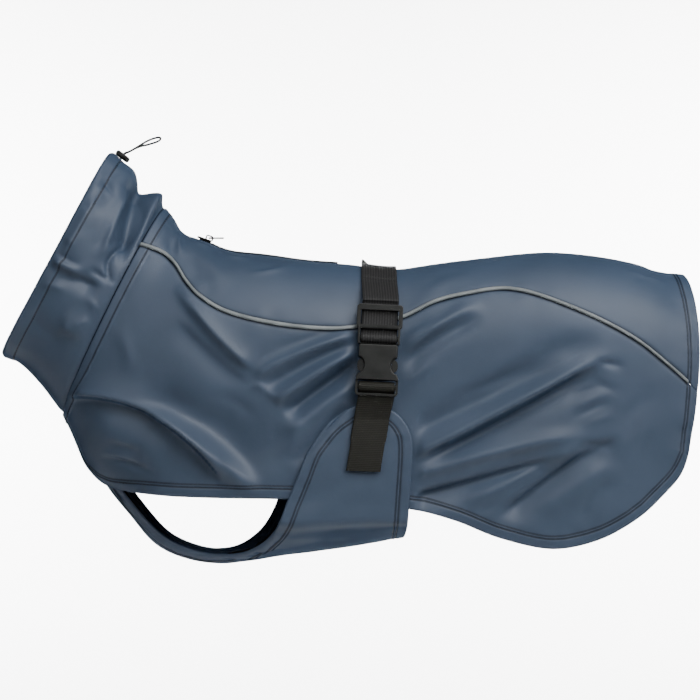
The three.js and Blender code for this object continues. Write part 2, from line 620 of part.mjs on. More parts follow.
function collarBase(place, angle) {
  const row = rowAt(COLLAR_ROWS_TABLE, clamp(place, 0, lastCollar));
  const along = Math.cos(angle);
  return new THREE.Vector3(
    lerp(row.topX, row.lowX, (1 - along) / 2) + row.dish * Math.sin(angle) ** 2,
    -row.halfWidth * Math.sign(Math.sin(angle)) * Math.abs(Math.sin(angle)) ** (2 / ROUNDNESS),
    lerp(row.topZ, row.lowZ, (1 - along) / 2),
  );
}

function collarPoint(place, angle, out) {
  const base = collarBase(place, angle);
  const step = 0.02;
  const alongRow = collarBase(place + step, angle).sub(collarBase(place - step, angle));
  const alongRing = collarBase(place, angle + step).sub(collarBase(place, angle - step));
  const normal = alongRow.cross(alongRing).normalize();
  const calm = smoothstep(place, 0, 0.5) * smoothstep(lastCollar - place, 0, 0.6);
  const side = Math.sin(angle) > 0 ? NEAR : FAR;
  const depth = foldDepth(COLLAR_FOLDS[side], base.x, base.z) * calm;
  return base.addScaledVector(normal, depth + out);
}

// The collar: one tube, turned in at its opening as a casing for the drawcord.
function collar() {
  const casing = lastCollar - 0.6;
  const places = [0.02, ...steps(0.25, casing, COLLAR_ROWS - 1), casing + 0.05, lastCollar];
  const angles = steps(0, 2 * Math.PI, COLLAR_ROUND).slice(0, -1);
  const outer = places.map((place) => angles.map((a) => collarPoint(place, a, 0)));
  const inner = places.map((place) => {
    const thick = CLOTH + (place > casing ? CASING_EXTRA : 0);
    return angles.map((a) => collarPoint(place, a, -thick));
  });
  return wall(outer, inner, true);
}

const lastBelly = BELLY_ROWS.length - 1;

function bellyBase(u, share, side) {
  const line = measuredLine(BELLY_ROWS, clamp(u, 0, lastBelly), side);
  const length = Math.abs(share) * line.total;
  const point = pointAlong(line, length);
  if (share < 0) point.y *= -1;
  const over = smoothstep(point.z, LAP_FADE.low, LAP_FADE.high) * smoothstep(u, 7.5, 9);
  if (share > 0 && over > 0) point.lerp(overSide(point.x, point.z, side, LAP), over);
  return point;
}

function bellyPoint(u, share, side, out) {
  const normal = normalOf((a, b) => bellyBase(a, Math.min(b, 1), side), u, share, side);
  return bellyBase(u, share, side).addScaledVector(normal.negate(), out);
}

function bellyPanel() {
  const lines = [...steps(0, lastBelly - 0.9, BELLY_COLUMNS), lastBelly - 0.82, lastBelly];
  const shareRows = steps(0, 1, BELLY_HALF_ROWS);
  const outer = [];
  const inner = [];
  for (const u of lines) {
    const outerLine = [];
    const innerLine = [];
    for (const side of [NEAR, FAR]) {
      const shares = side === NEAR ? [...shareRows].reverse() : shareRows.slice(1);
      for (const share of shares) {
        const hem = share === 1 || u > lastBelly - 0.85 ? HEM_EXTRA : 0;
        outerLine.push(bellyPoint(u, share, side, 0));
        innerLine.push(bellyPoint(u, share, side, -CLOTH - hem));
      }
    }
    outer.push(outerLine);
    inner.push(innerLine);
  }
  return wall(outer, inner);
}

// A strip through rows of points on its inner face, each with the direction in which it is thick.
function strip(rows, thick) {
  const inner = rows.map((row) => row.map(({ point }) => point));
  const outer = rows.map((row) => row.map(({ point, out }) => point.clone().addScaledVector(out, thick)));
  return wall(outer, inner);
}

// The place on the coat's side that lies at x, a given length down from the middle of the back.
function placeAtX(x, length, side) {
  let low = 0;
  let high = lastBody;
  for (let i = 0; i < 22; i += 1) {
    const middle = (low + high) / 2;
    if (pointAlong(measuredLine(BODY_ROWS, middle, side), length).x < x) low = middle;
    else high = middle;
  }
  return { u: low, share: length / measuredLine(BODY_ROWS, low, side).total };
}

const webColumns = steps(-WEB_WIDTH / 2, WEB_WIDTH / 2, 4);

// The webbing's row on the coat, standing out by lift. Its front edge curls up near the far shoulder.
function webRow(length, side, lift) {
  return webColumns.map((across) => {
    const { u, share } = placeAtX(WEB_X + across, length, side);
    const place = Math.exp(-(((length - WEB_CURL.length) / WEB_CURL.reach) ** 2));
    const curl = side === FAR && across < -WEB_WIDTH / 3 ? WEB_CURL.high * place : 0;
    const point = bodyPoint(u, share, side, lift + curl);
    const out = bodyPoint(u, share, side, lift + curl + 1).sub(point);
    return { point, out };
  });
}

// The buckle's own frame: x along its width, y up along the webbing, and z out from the coat.
const buckleUp = new THREE.Vector3(BUCKLE.tilt, BUCKLE.lean, 1).normalize();
const buckleOut = new THREE.Vector3(0, -1, BUCKLE.lean).normalize();
const buckleAcross = buckleUp.clone().cross(buckleOut).normalize();
buckleUp.copy(buckleOut).cross(buckleAcross);
const buckleFrame = new THREE.Matrix4()
  .makeBasis(buckleAcross, buckleUp, buckleOut)
  .setPosition(BUCKLE.x, BUCKLE.y, BUCKLE.z);

// A webbing row in the buckle's frame, with its thickness in the direction (outY, outZ).
function buckleRow(up, out, outY, outZ) {
  const direction = new THREE.Vector3(0, outY, outZ).transformDirection(buckleFrame);
  return webColumns.map((across) => ({
    point: new THREE.Vector3(across, up, out).applyMatrix4(buckleFrame),
    out: direction.clone(),
  }));
}

// A turn of webbing round a bar, from its front over the side that away names to its back.
function turnRows(bar, away, count) {
  const r = bar.radius + SEAM_GAP;
  return steps(bar.meets, Math.PI, count).map((angle) => {
    const [up, out] = [away * Math.sin(angle), Math.cos(angle)];
    return buckleRow(bar.z + up * r, bar.out + out * r, up, out);
  });
}

function webbingBack() {
  const rows = [];
  const farEnd = 206;
  const topLift = 1.2;
  for (const length of steps(farEnd, 4, 26)) {
    const place = placeAtX(WEB_X, length, FAR);
    const z = bodyBase(place.u, place.share, FAR).z;
    const overFlap = smoothstep(-z, 84, 98);
    const overPiping = Math.exp(-(((z - pipingZ(WEB_X)) / 8) ** 2));
    const lift = lerp(topLift, LAP + WEB_CLEAR, overFlap) + 2.4 * overPiping;
    if (z > WEB_END_Z) rows.push(webRow(length, FAR, lift));
  }
  const leaves = [];
  for (const length of steps(0, 60, 12)) {
    const place = placeAtX(WEB_X, length, NEAR);
    if (bodyBase(place.u, place.share, NEAR).z > WEB_LEAVES_Z) leaves.push(webRow(length, NEAR, topLift));
  }
  rows.push(...leaves);
  const under = ROLLER.out - ROLLER.radius - SEAM_GAP;
  const behind = under + SEAM_GAP;
  rows.push(buckleRow(FRAME.top + 5, behind, 0, 1));
  rows.push(buckleRow(FRAME.top, behind, 0, 1));
  rows.push(buckleRow(FRAME.low - 0.2, behind, 0.3, 1));
  rows.push(...turnRows(ROLLER, -1, 10));
  rows.push(buckleRow(FRAME_WINDOW.low, under, 0, -1));
  rows.push(buckleRow(FRAME.top + 1, under, 0, -1));
  return strip(rows, WEB_THICK);
}

function rounded(halfWide, low, high, radius) {
  const shape = new THREE.Shape();
  shape.moveTo(halfWide, low + radius);
  shape.absarc(halfWide - radius, high - radius, radius, 0, Math.PI / 2);
  shape.absarc(radius - halfWide, high - radius, radius, Math.PI / 2, Math.PI);
  shape.absarc(radius - halfWide, low + radius, radius, Math.PI, 1.5 * Math.PI);
  shape.absarc(halfWide - radius, low + radius, radius, 1.5 * Math.PI, 2 * Math.PI);
  return shape;
}

// A plate from back to front with its outline kept and its edges rounded by bevel.
function plate(shape, back, front, bevel = 0) {
  const geometry = new THREE.ExtrudeGeometry(shape, {
    depth: front - back - 2 * bevel,
    bevelEnabled: bevel > 0,
    bevelSize: bevel,
    bevelOffset: -bevel,
    bevelThickness: bevel,
    bevelSegments: 2,
    curveSegments: 4,
  });
  return toSolid(indexed(geometry.translate(0, 0, back + bevel)));
}

// A bar across the buckle.
function crossBar(bar, half) {
  const rod = new THREE.CylinderGeometry(bar.radius, bar.radius, 2 * half, 12);
  return toSolid(indexed(rod.rotateZ(Math.PI / 2).translate(0, bar.z, bar.out)));
}

function inBuckleFrame(solid) {
  return toGeometry(solid).applyMatrix4(buckleFrame);
}

// The plug: a frame with two windows, and behind it two sprung arms and a guide.
function bucklePlug() {
  const { half, top, low, back, front, round } = FRAME;
  const frame = plate(rounded(half, low, top, round), back, front, 0.7);
  const window = plate(rounded(FRAME_WINDOW.half, FRAME_WINDOW.low, FRAME_WINDOW.top, 1), 0, 12);
  const body = plate(rounded(PLUG.half, PLUG.low, low + 2, 1), PLUG.back, PLUG.front, 0.4);
  const lowWindow = plate(rounded(PLUG_WINDOW.half, PLUG_WINDOW.low, low + 6, 0.8), 0, 12);
  const { half: baseHalf, low: baseLow, back: baseBack, front: baseFront } = PLUG_BASE;
  const base = plate(rounded(baseHalf, baseLow, PLUG_WINDOW.low, 0.5), baseBack, baseFront);
  const guide = plate(rounded(GUIDE.half, GUIDE.low, baseLow + 1, 0.8), 3.2, 5.6);
  let plug = frame.subtract(window).add(body.subtract(lowWindow));
  plug = plug.add(crossBar(ROLLER, PLUG_WINDOW.half + 0.8)).add(base).add(guide);
  for (const side of [-1, 1]) {
    const arm = new THREE.Shape();
    arm.moveTo(side * ARM.inner, ARM.top);
    arm.lineTo(side * ARM.outer, ARM.top);
    arm.lineTo(side * (ARM.outer - 0.1), -6.4);
    arm.quadraticCurveTo(side * ARM.bulge, -7, side * ARM.bulge, SOCKET_NOTCH.z);
    arm.quadraticCurveTo(side * ARM.bulge, -14.4, side * (ARM.outer - 0.4), -14.8);
    arm.lineTo(side * (ARM.outer - 1), ARM.low);
    arm.lineTo(side * ARM.inner, ARM.low + 1);
    plug = plug.add(plate(arm, PLUG_BASE.back, PLUG_BASE.front));
  }
  return inBuckleFrame(plug);
}

// The socket: a flat box with a notch in each side, and the window that holds the lower webbing.
function buckleSocket() {
  const { half, top, low, flare, back, front, bevel } = SOCKET;
  const { x, z, radius } = SOCKET_NOTCH;
  const open = Math.acos((x - half) / radius);
  const outline = new THREE.Shape();
  outline.moveTo(-half + 1, top);
  outline.lineTo(half - 1, top);
  outline.lineTo(half, top - 1);
  outline.absarc(x, z, radius, Math.PI - open, Math.PI + open);
  outline.lineTo(flare, -19.4);
  outline.lineTo(flare, low + 1.6);
  outline.lineTo(flare - 1.6, low);
  outline.lineTo(1.6 - flare, low);
  outline.lineTo(-flare, low + 1.6);
  outline.lineTo(-flare, -19.4);
  outline.absarc(-x, z, radius, -open, open);
  outline.lineTo(-half, top - 1);
  let socket = plate(outline, back, front, bevel);
  const bore = rounded(SOCKET_BORE.half, SOCKET_BORE.low, top + 3, 0.6);
  socket = socket.subtract(plate(bore, SOCKET_BORE.back, SOCKET_BORE.front));
  const window = rounded(SOCKET_WINDOW.half, SOCKET_WINDOW.low, SOCKET_WINDOW.top, 1);
  socket = socket.subtract(plate(window, -2, 14));
  const shave = rounded(flare + 4, low - 4, SOCKET_WINDOW.top - 0.4, 0.1);
  socket = socket.subtract(plate(shave, SOCKET_WINDOW.front, 14));
  const passage = rounded(SOCKET_WINDOW.half, low - 4, SOCKET_WINDOW.low + 2, 0.1);
  socket = socket.subtract(plate(passage, -2, SOCKET_WINDOW.back));
  return inBuckleFrame(socket.add(crossBar(LOWER_BAR, SOCKET_WINDOW.half + 0.8)));
}

// The lower webbing, from its sewn end up round the buckle's bar and back down behind itself.
function webbingLower() {
  const bar = new THREE.Vector3(0, LOWER_BAR.z, 0).applyMatrix4(buckleFrame);
  const middleX = (z) => lerp(bar.x, bar.x - 9.2, (bar.z - z) / (bar.z - WEB_END_Z));
  const leaning = new THREE.Vector3(1, 0, -9.2 / (bar.z - WEB_END_Z)).normalize();
  const onFlap = (z, lift, facing) =>
    webColumns.map((across) => {
      const [x, high] = [middleX(z) + across * leaning.x, z + across * leaning.z];
      const point = overSide(x, high, NEAR, LAP + lift);
      const out = overSide(x, high, NEAR, LAP + lift + facing).sub(point).normalize();
      return { point, out };
    });
  const back = SEAM_GAP + 0.2;
  const front = back + WEB_THICK + SEAM_GAP;
  const under = LOWER_BAR.out - LOWER_BAR.radius - SEAM_GAP;
  const rows = steps(WEB_END_Z, -106, 8).map((z) => onFlap(z, front, 1));
  rows.push(buckleRow(SOCKET.low - 0.6, under + SEAM_GAP, 0, 1));
  rows.push(buckleRow(SOCKET_WINDOW.low + 0.5, under + SEAM_GAP, -0.3, 1));
  rows.push(...turnRows(LOWER_BAR, 1, 10));
  rows.push(buckleRow(SOCKET.low - 0.6, under, 0, -1));
  rows.push(...steps(-106, WEB_BACK_END_Z, 5).map((z) => onFlap(z, back + WEB_THICK, -1)));
  return strip(rows, WEB_THICK);
}

// The frame of the middle of the back at x: x along it towards the tail, and z out from it.
function backFrame(x) {
  let low = 0;
  let high = lastBody;
  for (let i = 0; i < 30; i += 1) {
    const middle = (low + high) / 2;
    if (bodyPoint(middle, 0, NEAR, 0).x < x) low = middle;
    else high = middle;
  }
  const point = bodyPoint(low, 0, NEAR, 0);
  const along = bodyPoint(low + 0.05, 0, NEAR, 0).sub(bodyPoint(low - 0.05, 0, NEAR, 0)).normalize();
  const across = new THREE.Vector3(0, 1, 0);
  const out = along.clone().cross(across);
  return new THREE.Matrix4().makeBasis(along, across, out).setPosition(point);
}

// A strip along the middle of the back, from one place to another.
function backStrip(fromX, toX, half, low, high, count) {
  const rows = steps(fromX, toX, count).map((x) => {
    const frame = backFrame(x);
    return steps(-half, half, 2).map((across) => {
      const point = new THREE.Vector3(0, across, low).applyMatrix4(frame);
      return { point, out: new THREE.Vector3(0, 0, 1).transformDirection(frame) };
    });
  });
  return strip(rows, high - low);
}

function zipTape() {
  const rows = [];
  const ends = [ZIP_FRONT_X - 8, ZIP_REAR_X + 8].map((x) => placeAtX(x, 0.01, NEAR).u);
  for (const u of [ends[0], ...bodyLines.filter((u) => u > ends[0] && u < ends[1]), ends[1]]) {
    const frame = backFrame(bodyPoint(u, 0, NEAR, 0).x);
    const row = [];
    for (const across of steps(-ZIP_TAPE_WIDTH / 2, ZIP_TAPE_WIDTH / 2, 4)) {
      const side = across < 0 ? NEAR : FAR;
      const line = measuredLine(BODY_ROWS, u, side);
      const lift = -CLOTH - SEAM_GAP - 0.2 - ZIP_TAPE_THICK;
      const point = bodyPoint(u, Math.abs(across) / line.total, side, lift);
      row.push({ point, out: new THREE.Vector3(0, 0, 1).transformDirection(frame) });
    }
    rows.push(row);
  }
  return strip(rows, ZIP_TAPE_THICK);
}

function zipChain() {
  return backStrip(ZIP_FRONT_X + 2, ZIP_REAR_X - 2, ZIP_CHAIN_WIDTH / 2, -CLOTH, ZIP_CHAIN_TOP, 22);
}

// The slider on the closed zip's front end, with the crown that its pull hangs on.
function zipSlider() {
  const { length, nose, tail, high } = SLIDER;
  const top = new THREE.Shape();
  top.moveTo(-length / 2 + 1, -nose);
  top.lineTo(length / 2, -tail);
  top.lineTo(length / 2, tail);
  top.lineTo(-length / 2 + 1, nose);
  top.quadraticCurveTo(-length / 2 - 0.4, 0, -length / 2 + 1, -nose);
  const floor = ZIP_CHAIN_TOP + SEAM_GAP;
  let slider = plate(top, floor, floor + high, 0.3);
  const arch = new THREE.Shape();
  const crownLow = floor + high - 0.4;
  const crownHigh = floor + high + CROWN.high;
  arch.moveTo(CROWN.front, crownLow);
  arch.lineTo(CROWN.rear, crownLow);
  arch.lineTo(CROWN.rear, crownHigh - 1);
  arch.lineTo(CROWN.rear - 1, crownHigh);
  arch.lineTo(CROWN.front + 1, crownHigh);
  arch.lineTo(CROWN.front, crownHigh - 1);
  const eye = new THREE.Shape();
  eye.moveTo(CROWN.front + CROWN.bar, crownLow + 0.4);
  eye.lineTo(CROWN.rear - CROWN.bar, crownLow + 0.4);
  eye.lineTo(CROWN.rear - CROWN.bar, crownHigh - CROWN.bar);
  eye.lineTo(CROWN.front + CROWN.bar, crownHigh - CROWN.bar);
  const across = (shape, width) => {
    const geometry = new THREE.ExtrudeGeometry(shape, { depth: width, bevelEnabled: false });
    return toSolid(indexed(geometry.rotateX(Math.PI / 2).translate(0, width / 2, 0)));
  };
  slider = slider.add(across(arch, CROWN.width)).subtract(across(eye, CROWN.width + 2));
  return toGeometry(slider).applyMatrix4(backFrame(SLIDER.x));
}

// The hinge of the pull, under the crown.
const pinPlace = new THREE.Vector3(
  (CROWN.front + CROWN.rear) / 2,
  0,
  ZIP_CHAIN_TOP + SEAM_GAP + SLIDER.high + (CROWN.high - CROWN.bar) / 2,
).applyMatrix4(backFrame(SLIDER.x));

function zipPull() {
  const { eye, length, half, thick, pin, arm } = PULL;
  const tab = new THREE.Shape();
  tab.moveTo(-0.5, -half);
  tab.lineTo(length - 1.4, -half);
  tab.quadraticCurveTo(length, -half, length, 0);
  tab.quadraticCurveTo(length, half, length - 1.4, half);
  tab.lineTo(-0.5, half);
  const opening = new THREE.Shape();
  opening.moveTo(-2, arm - half);
  opening.lineTo(eye, arm - half);
  opening.lineTo(eye, half - arm);
  opening.lineTo(-2, half - arm);
  const rod = new THREE.CylinderGeometry(pin, pin, 2 * half, 8);
  let pull = plate(tab, -thick / 2, thick / 2).subtract(plate(opening, -thick, thick));
  pull = pull.add(toSolid(indexed(rod)));
  return toGeometry(pull).translate(pinPlace.x, pinPlace.y, pinPlace.z);
}

// The collar's top line at x, with z out from the cloth and x towards the tail.
function collarTopFrame(x) {
  let low = 0;
  let high = lastCollar;
  for (let i = 0; i < 30; i += 1) {
    const middle = (low + high) / 2;
    if (collarPoint(middle, 0, 0).x > x) low = middle;
    else high = middle;
  }
  const along = collarPoint(low - 0.05, 0, 0).sub(collarPoint(low + 0.05, 0, 0)).normalize();
  const across = new THREE.Vector3(0, 1, 0);
  const out = along.clone().cross(across);
  return new THREE.Matrix4().makeBasis(along, across, out).setPosition(collarPoint(low, 0, 0));
}

function cordLock() {
  const { length, width, high, slot, slotWide, lift } = LOCK;
  const body = new THREE.Shape();
  body.absellipse(0, 0, length / 2, width / 2, 0, 2 * Math.PI);
  const barrel = plate(body, lift, lift + high, 1.4);
  const hole = plate(rounded(slotWide / 2, -slot / 2, slot / 2, 0.9), 0, 12);
  return toGeometry(barrel.subtract(hole)).applyMatrix4(collarTopFrame(LOCK.x));
}

// The elastic cord: up one strand, round the loop's tip and back down the other.
function cordLoop() {
  const frame = collarTopFrame(LOCK.x);
  const inLock = [0.5, 2.9, LOCK.lift + LOCK.high + 0.6];
  const strand = (side) => [
    ...inLock.map((z) => new THREE.Vector3(0, side * 1.15, z).applyMatrix4(frame)),
    ...CORD_ROWS.map((row) => new THREE.Vector3(row.x, side * row.spread, row.z + side * row.open)),
  ];
  const tip = new THREE.Vector3(CORD_TIP.x, 0, CORD_TIP.z);
  const route = new THREE.CatmullRomCurve3([...strand(NEAR), tip, ...strand(FAR).reverse()]);
  const section = new THREE.Shape();
  section.absarc(0, 0, CORD_WIDTH / 2, 0, 2 * Math.PI);
  return new THREE.ExtrudeGeometry(section, {
    steps: CORD_STEPS,
    extrudePath: route,
    curveSegments: 4,
    bevelEnabled: false,
  });
}

const coat = new THREE.Group();
coat.add(
  named("back_panel", backPanel(), cloth),
  named("side_panel_near", sidePanel(NEAR), cloth),
  named("side_panel_far", sidePanel(FAR), cloth),
  named("collar", collar(), cloth),
  named("belly_panel", bellyPanel(), cloth),
  named("piping_near", piping(NEAR), piped),
  named("piping_far", piping(FAR), piped),
  named("webbing_back", webbingBack(), webbing),
  named("webbing_lower", webbingLower(), webbing),
  named("buckle_plug", bucklePlug(), plastic),
  named("buckle_socket", buckleSocket(), plastic),
  named("zip_tape", zipTape(), webbing),
  named("zip_chain", zipChain(), zipMetal),
  named("zip_slider", zipSlider(), zipMetal),
  named("zip_pull", zipPull(), zipMetal),
  named("cord_lock", cordLock(), plastic),
  named("cord_loop", cordLoop(), webbing),
);

export default coat;
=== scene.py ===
"""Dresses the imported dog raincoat: cloth panels, piping, webbing, buckle, zip and drawcord.

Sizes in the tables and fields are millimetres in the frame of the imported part: the tail end is +X, the
near side is -Y and up is +Z. Meshes are written in metres.
"""

import logging
import math
from dataclasses import dataclass, field
from enum import Enum
from typing import Callable, NamedTuple, Sequence

import bmesh
import bpy
import numpy as np
from mathutils import Matrix, Vector


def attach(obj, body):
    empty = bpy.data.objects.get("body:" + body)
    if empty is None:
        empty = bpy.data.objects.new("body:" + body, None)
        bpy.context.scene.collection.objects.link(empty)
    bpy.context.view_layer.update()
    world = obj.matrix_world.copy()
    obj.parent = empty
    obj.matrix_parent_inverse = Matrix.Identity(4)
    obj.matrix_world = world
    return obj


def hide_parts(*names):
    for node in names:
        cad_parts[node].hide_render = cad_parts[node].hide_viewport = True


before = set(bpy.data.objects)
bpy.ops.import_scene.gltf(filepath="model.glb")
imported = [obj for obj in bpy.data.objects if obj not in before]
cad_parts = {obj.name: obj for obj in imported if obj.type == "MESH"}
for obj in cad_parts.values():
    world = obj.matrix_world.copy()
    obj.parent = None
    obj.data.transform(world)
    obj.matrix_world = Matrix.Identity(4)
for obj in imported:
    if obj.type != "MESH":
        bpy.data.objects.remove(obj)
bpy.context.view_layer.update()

Array = np.ndarray
MM = 0.001
LOG = logging.getLogger("raincoat")


class Side(Enum):
    """The two sides of the coat, by the sign of Y."""

    NEAR = -1
    FAR = 1


class BodyRow(NamedTuple):
    """A line of the coat from the middle of the back down to its lower edge."""

    top_x: float
    top_z: float
    hem_x: float
    hem_z: float
    hem_y: float
    half_width: float
    shoulder: float
    close: float = 1.0
    bow: float = 0.0
    shift: float = 0.0


class SeamRow(NamedTuple):
    """A place on the piped seam, as seen from the side."""

    x: float
    z: float


class CollarRow(NamedTuple):
    """A ring of the collar."""

    top_x: float
    top_z: float
    low_x: float
    low_z: float
    half_width: float
    dish: float


class Fold(NamedTuple):
    """A fold from one place to another, bowed sideways, with its flanks and how far it stands out.

    The power of its profile is 2 where it is round, and less where it comes to a crease. Soft is the most
    of its length over which each end fades.
    """

    x0: float
    z0: float
    x1: float
    z1: float
    bend: float
    above: float
    below: float
    depth: float
    power: float = 2.0
    soft: float = 0.5


class Cut(NamedTuple):
    """The flat cut of a sheet: its width and length in metres, its area, how it is held and what by."""

    width: float
    length: float
    area: float
    held: str
    rests_on: tuple[str, ...]


class CordRow(NamedTuple):
    """A place on one strand of the drawcord's loop."""

    x: float
    z: float
    spread: float
    open: float


BODY_ROWS = (
    BodyRow(-133, 42, -206, -106, 0.2, 50, 82, 0.5),
    BodyRow(-127.2, 35, -198, -122, 7, 53, 80, 0.5),
    BodyRow(-119.5, 24, -186, -145, 15, 57, 76, 0.55),
    BodyRow(-103, 17.5, -167, -157.5, 30, 61, 71, 0.65),
    BodyRow(-86, 11, -132, -161, 56.5, 65, 66, 0.85),
    BodyRow(-60, 8, -92, -162.5, 61, 67, 63),
    BodyRow(-30, 4, -50, -163, 63, 67, 62),
    BodyRow(0, 2.4, -6, -165, 62, 66, 62),
    BodyRow(31, -0.7, 40, -170, 61, 65, 62),
    BodyRow(62, 2, 72, -178, 60, 66, 62),
    BodyRow(92, 6, 104, -190.5, 59, 67, 63),
    BodyRow(122, 9, 140, -198, 58, 68, 64),
    BodyRow(150, 9.8, 172, -192, 57, 68, 64, 1, 1),
    BodyRow(178, 7.5, 200, -177, 55, 66, 64, 1, 2),
    BodyRow(203, 2.5, 219, -160, 53, 63, 62, 1, 3),
    BodyRow(224, -4.5, 231, -146, 51, 59, 60, 1, 4),
    BodyRow(239.5, -6.2, 236, -131, 49, 55, 58, 1, 5),
)

PIPING_ROWS = (
    SeamRow(-152, 15),
    SeamRow(-145, 13.5),
    SeamRow(-131, 8),
    SeamRow(-122, 0),
    SeamRow(-114, -12),
    SeamRow(-105, -22),
    SeamRow(-85, -33.5),
    SeamRow(-48, -42.2),
    SeamRow(-14, -45),
    SeamRow(8, -42.8),
    SeamRow(37, -36),
    SeamRow(58, -26.5),
    SeamRow(78, -21.5),
    SeamRow(111, -17.7),
    SeamRow(148, -28.5),
    SeamRow(194, -50.5),
    SeamRow(224, -73.5),
    SeamRow(250, -97),
)

COLLAR_ROWS = (
    CollarRow(-133, 42, -206, -106, 50, 0),
    CollarRow(-145.5, 55.5, -222.5, -84.5, 52, 1.5),
    CollarRow(-158.5, 69.5, -237, -70, 53, 3),
    CollarRow(-171, 82.5, -250, -64, 51, 4.5),
)

BELLY_ROWS = (
    BodyRow(-201.5, -106.5, -198.5, -99, 15, 15, 7),
    BodyRow(-193, -121, -187, -112, 21, 21, 10),
    BodyRow(-182, -142, -174, -134, 25, 25, 11),
    BodyRow(-172.5, -159, -165, -152.5, 26, 26, 9.5),
    BodyRow(-158, -177, -151.5, -171, 24, 24, 8.6),
    BodyRow(-140, -198, -134, -190.5, 22, 22, 9),
    BodyRow(-120, -208.5, -117, -200, 21, 21, 8.6),
    BodyRow(-97, -212.5, -95, -204.5, 22, 22, 8, shift=-2),
    BodyRow(-76, -210.5, -72, -201, 33, 33, 9.5, shift=-6),
    BodyRow(-60, -208.5, -53, -186, 50, 50, 23, shift=-8),
    BodyRow(-46, -207, -42, -161, 63, 63, 42, shift=-8),
    BodyRow(-33, -205.5, -31, -135, 68, 68, 50, shift=-6),
    BodyRow(-20, -203.5, -17, -111, 68, 68, 52, shift=-4),
    BodyRow(-6, -201.5, 0, -99.5, 67, 68, 52, shift=-2),
    BodyRow(8, -199.5, 17, -97, 67, 68, 52),
    BodyRow(21, -197.5, 33, -104, 67, 68, 52),
    BodyRow(31, -195.5, 41.5, -116, 67, 67, 50),
    BodyRow(39, -194, 43.5, -128, 67, 67, 49),
)

CORD_ROWS = (
    CordRow(-159.4, 82.6, 1.15, 0.1),
    CordRow(-156, 84.4, 1.05, 0.2),
    CordRow(-151.5, 86.8, 1, 0.5),
    CordRow(-146, 89.1, 1.7, 1.6),
    CordRow(-141, 90.8, 2.1, 1.9),
    CordRow(-137.6, 91.8, 1.5, 1.4),
)
CORD_TIP = (-136.4, 92.1)

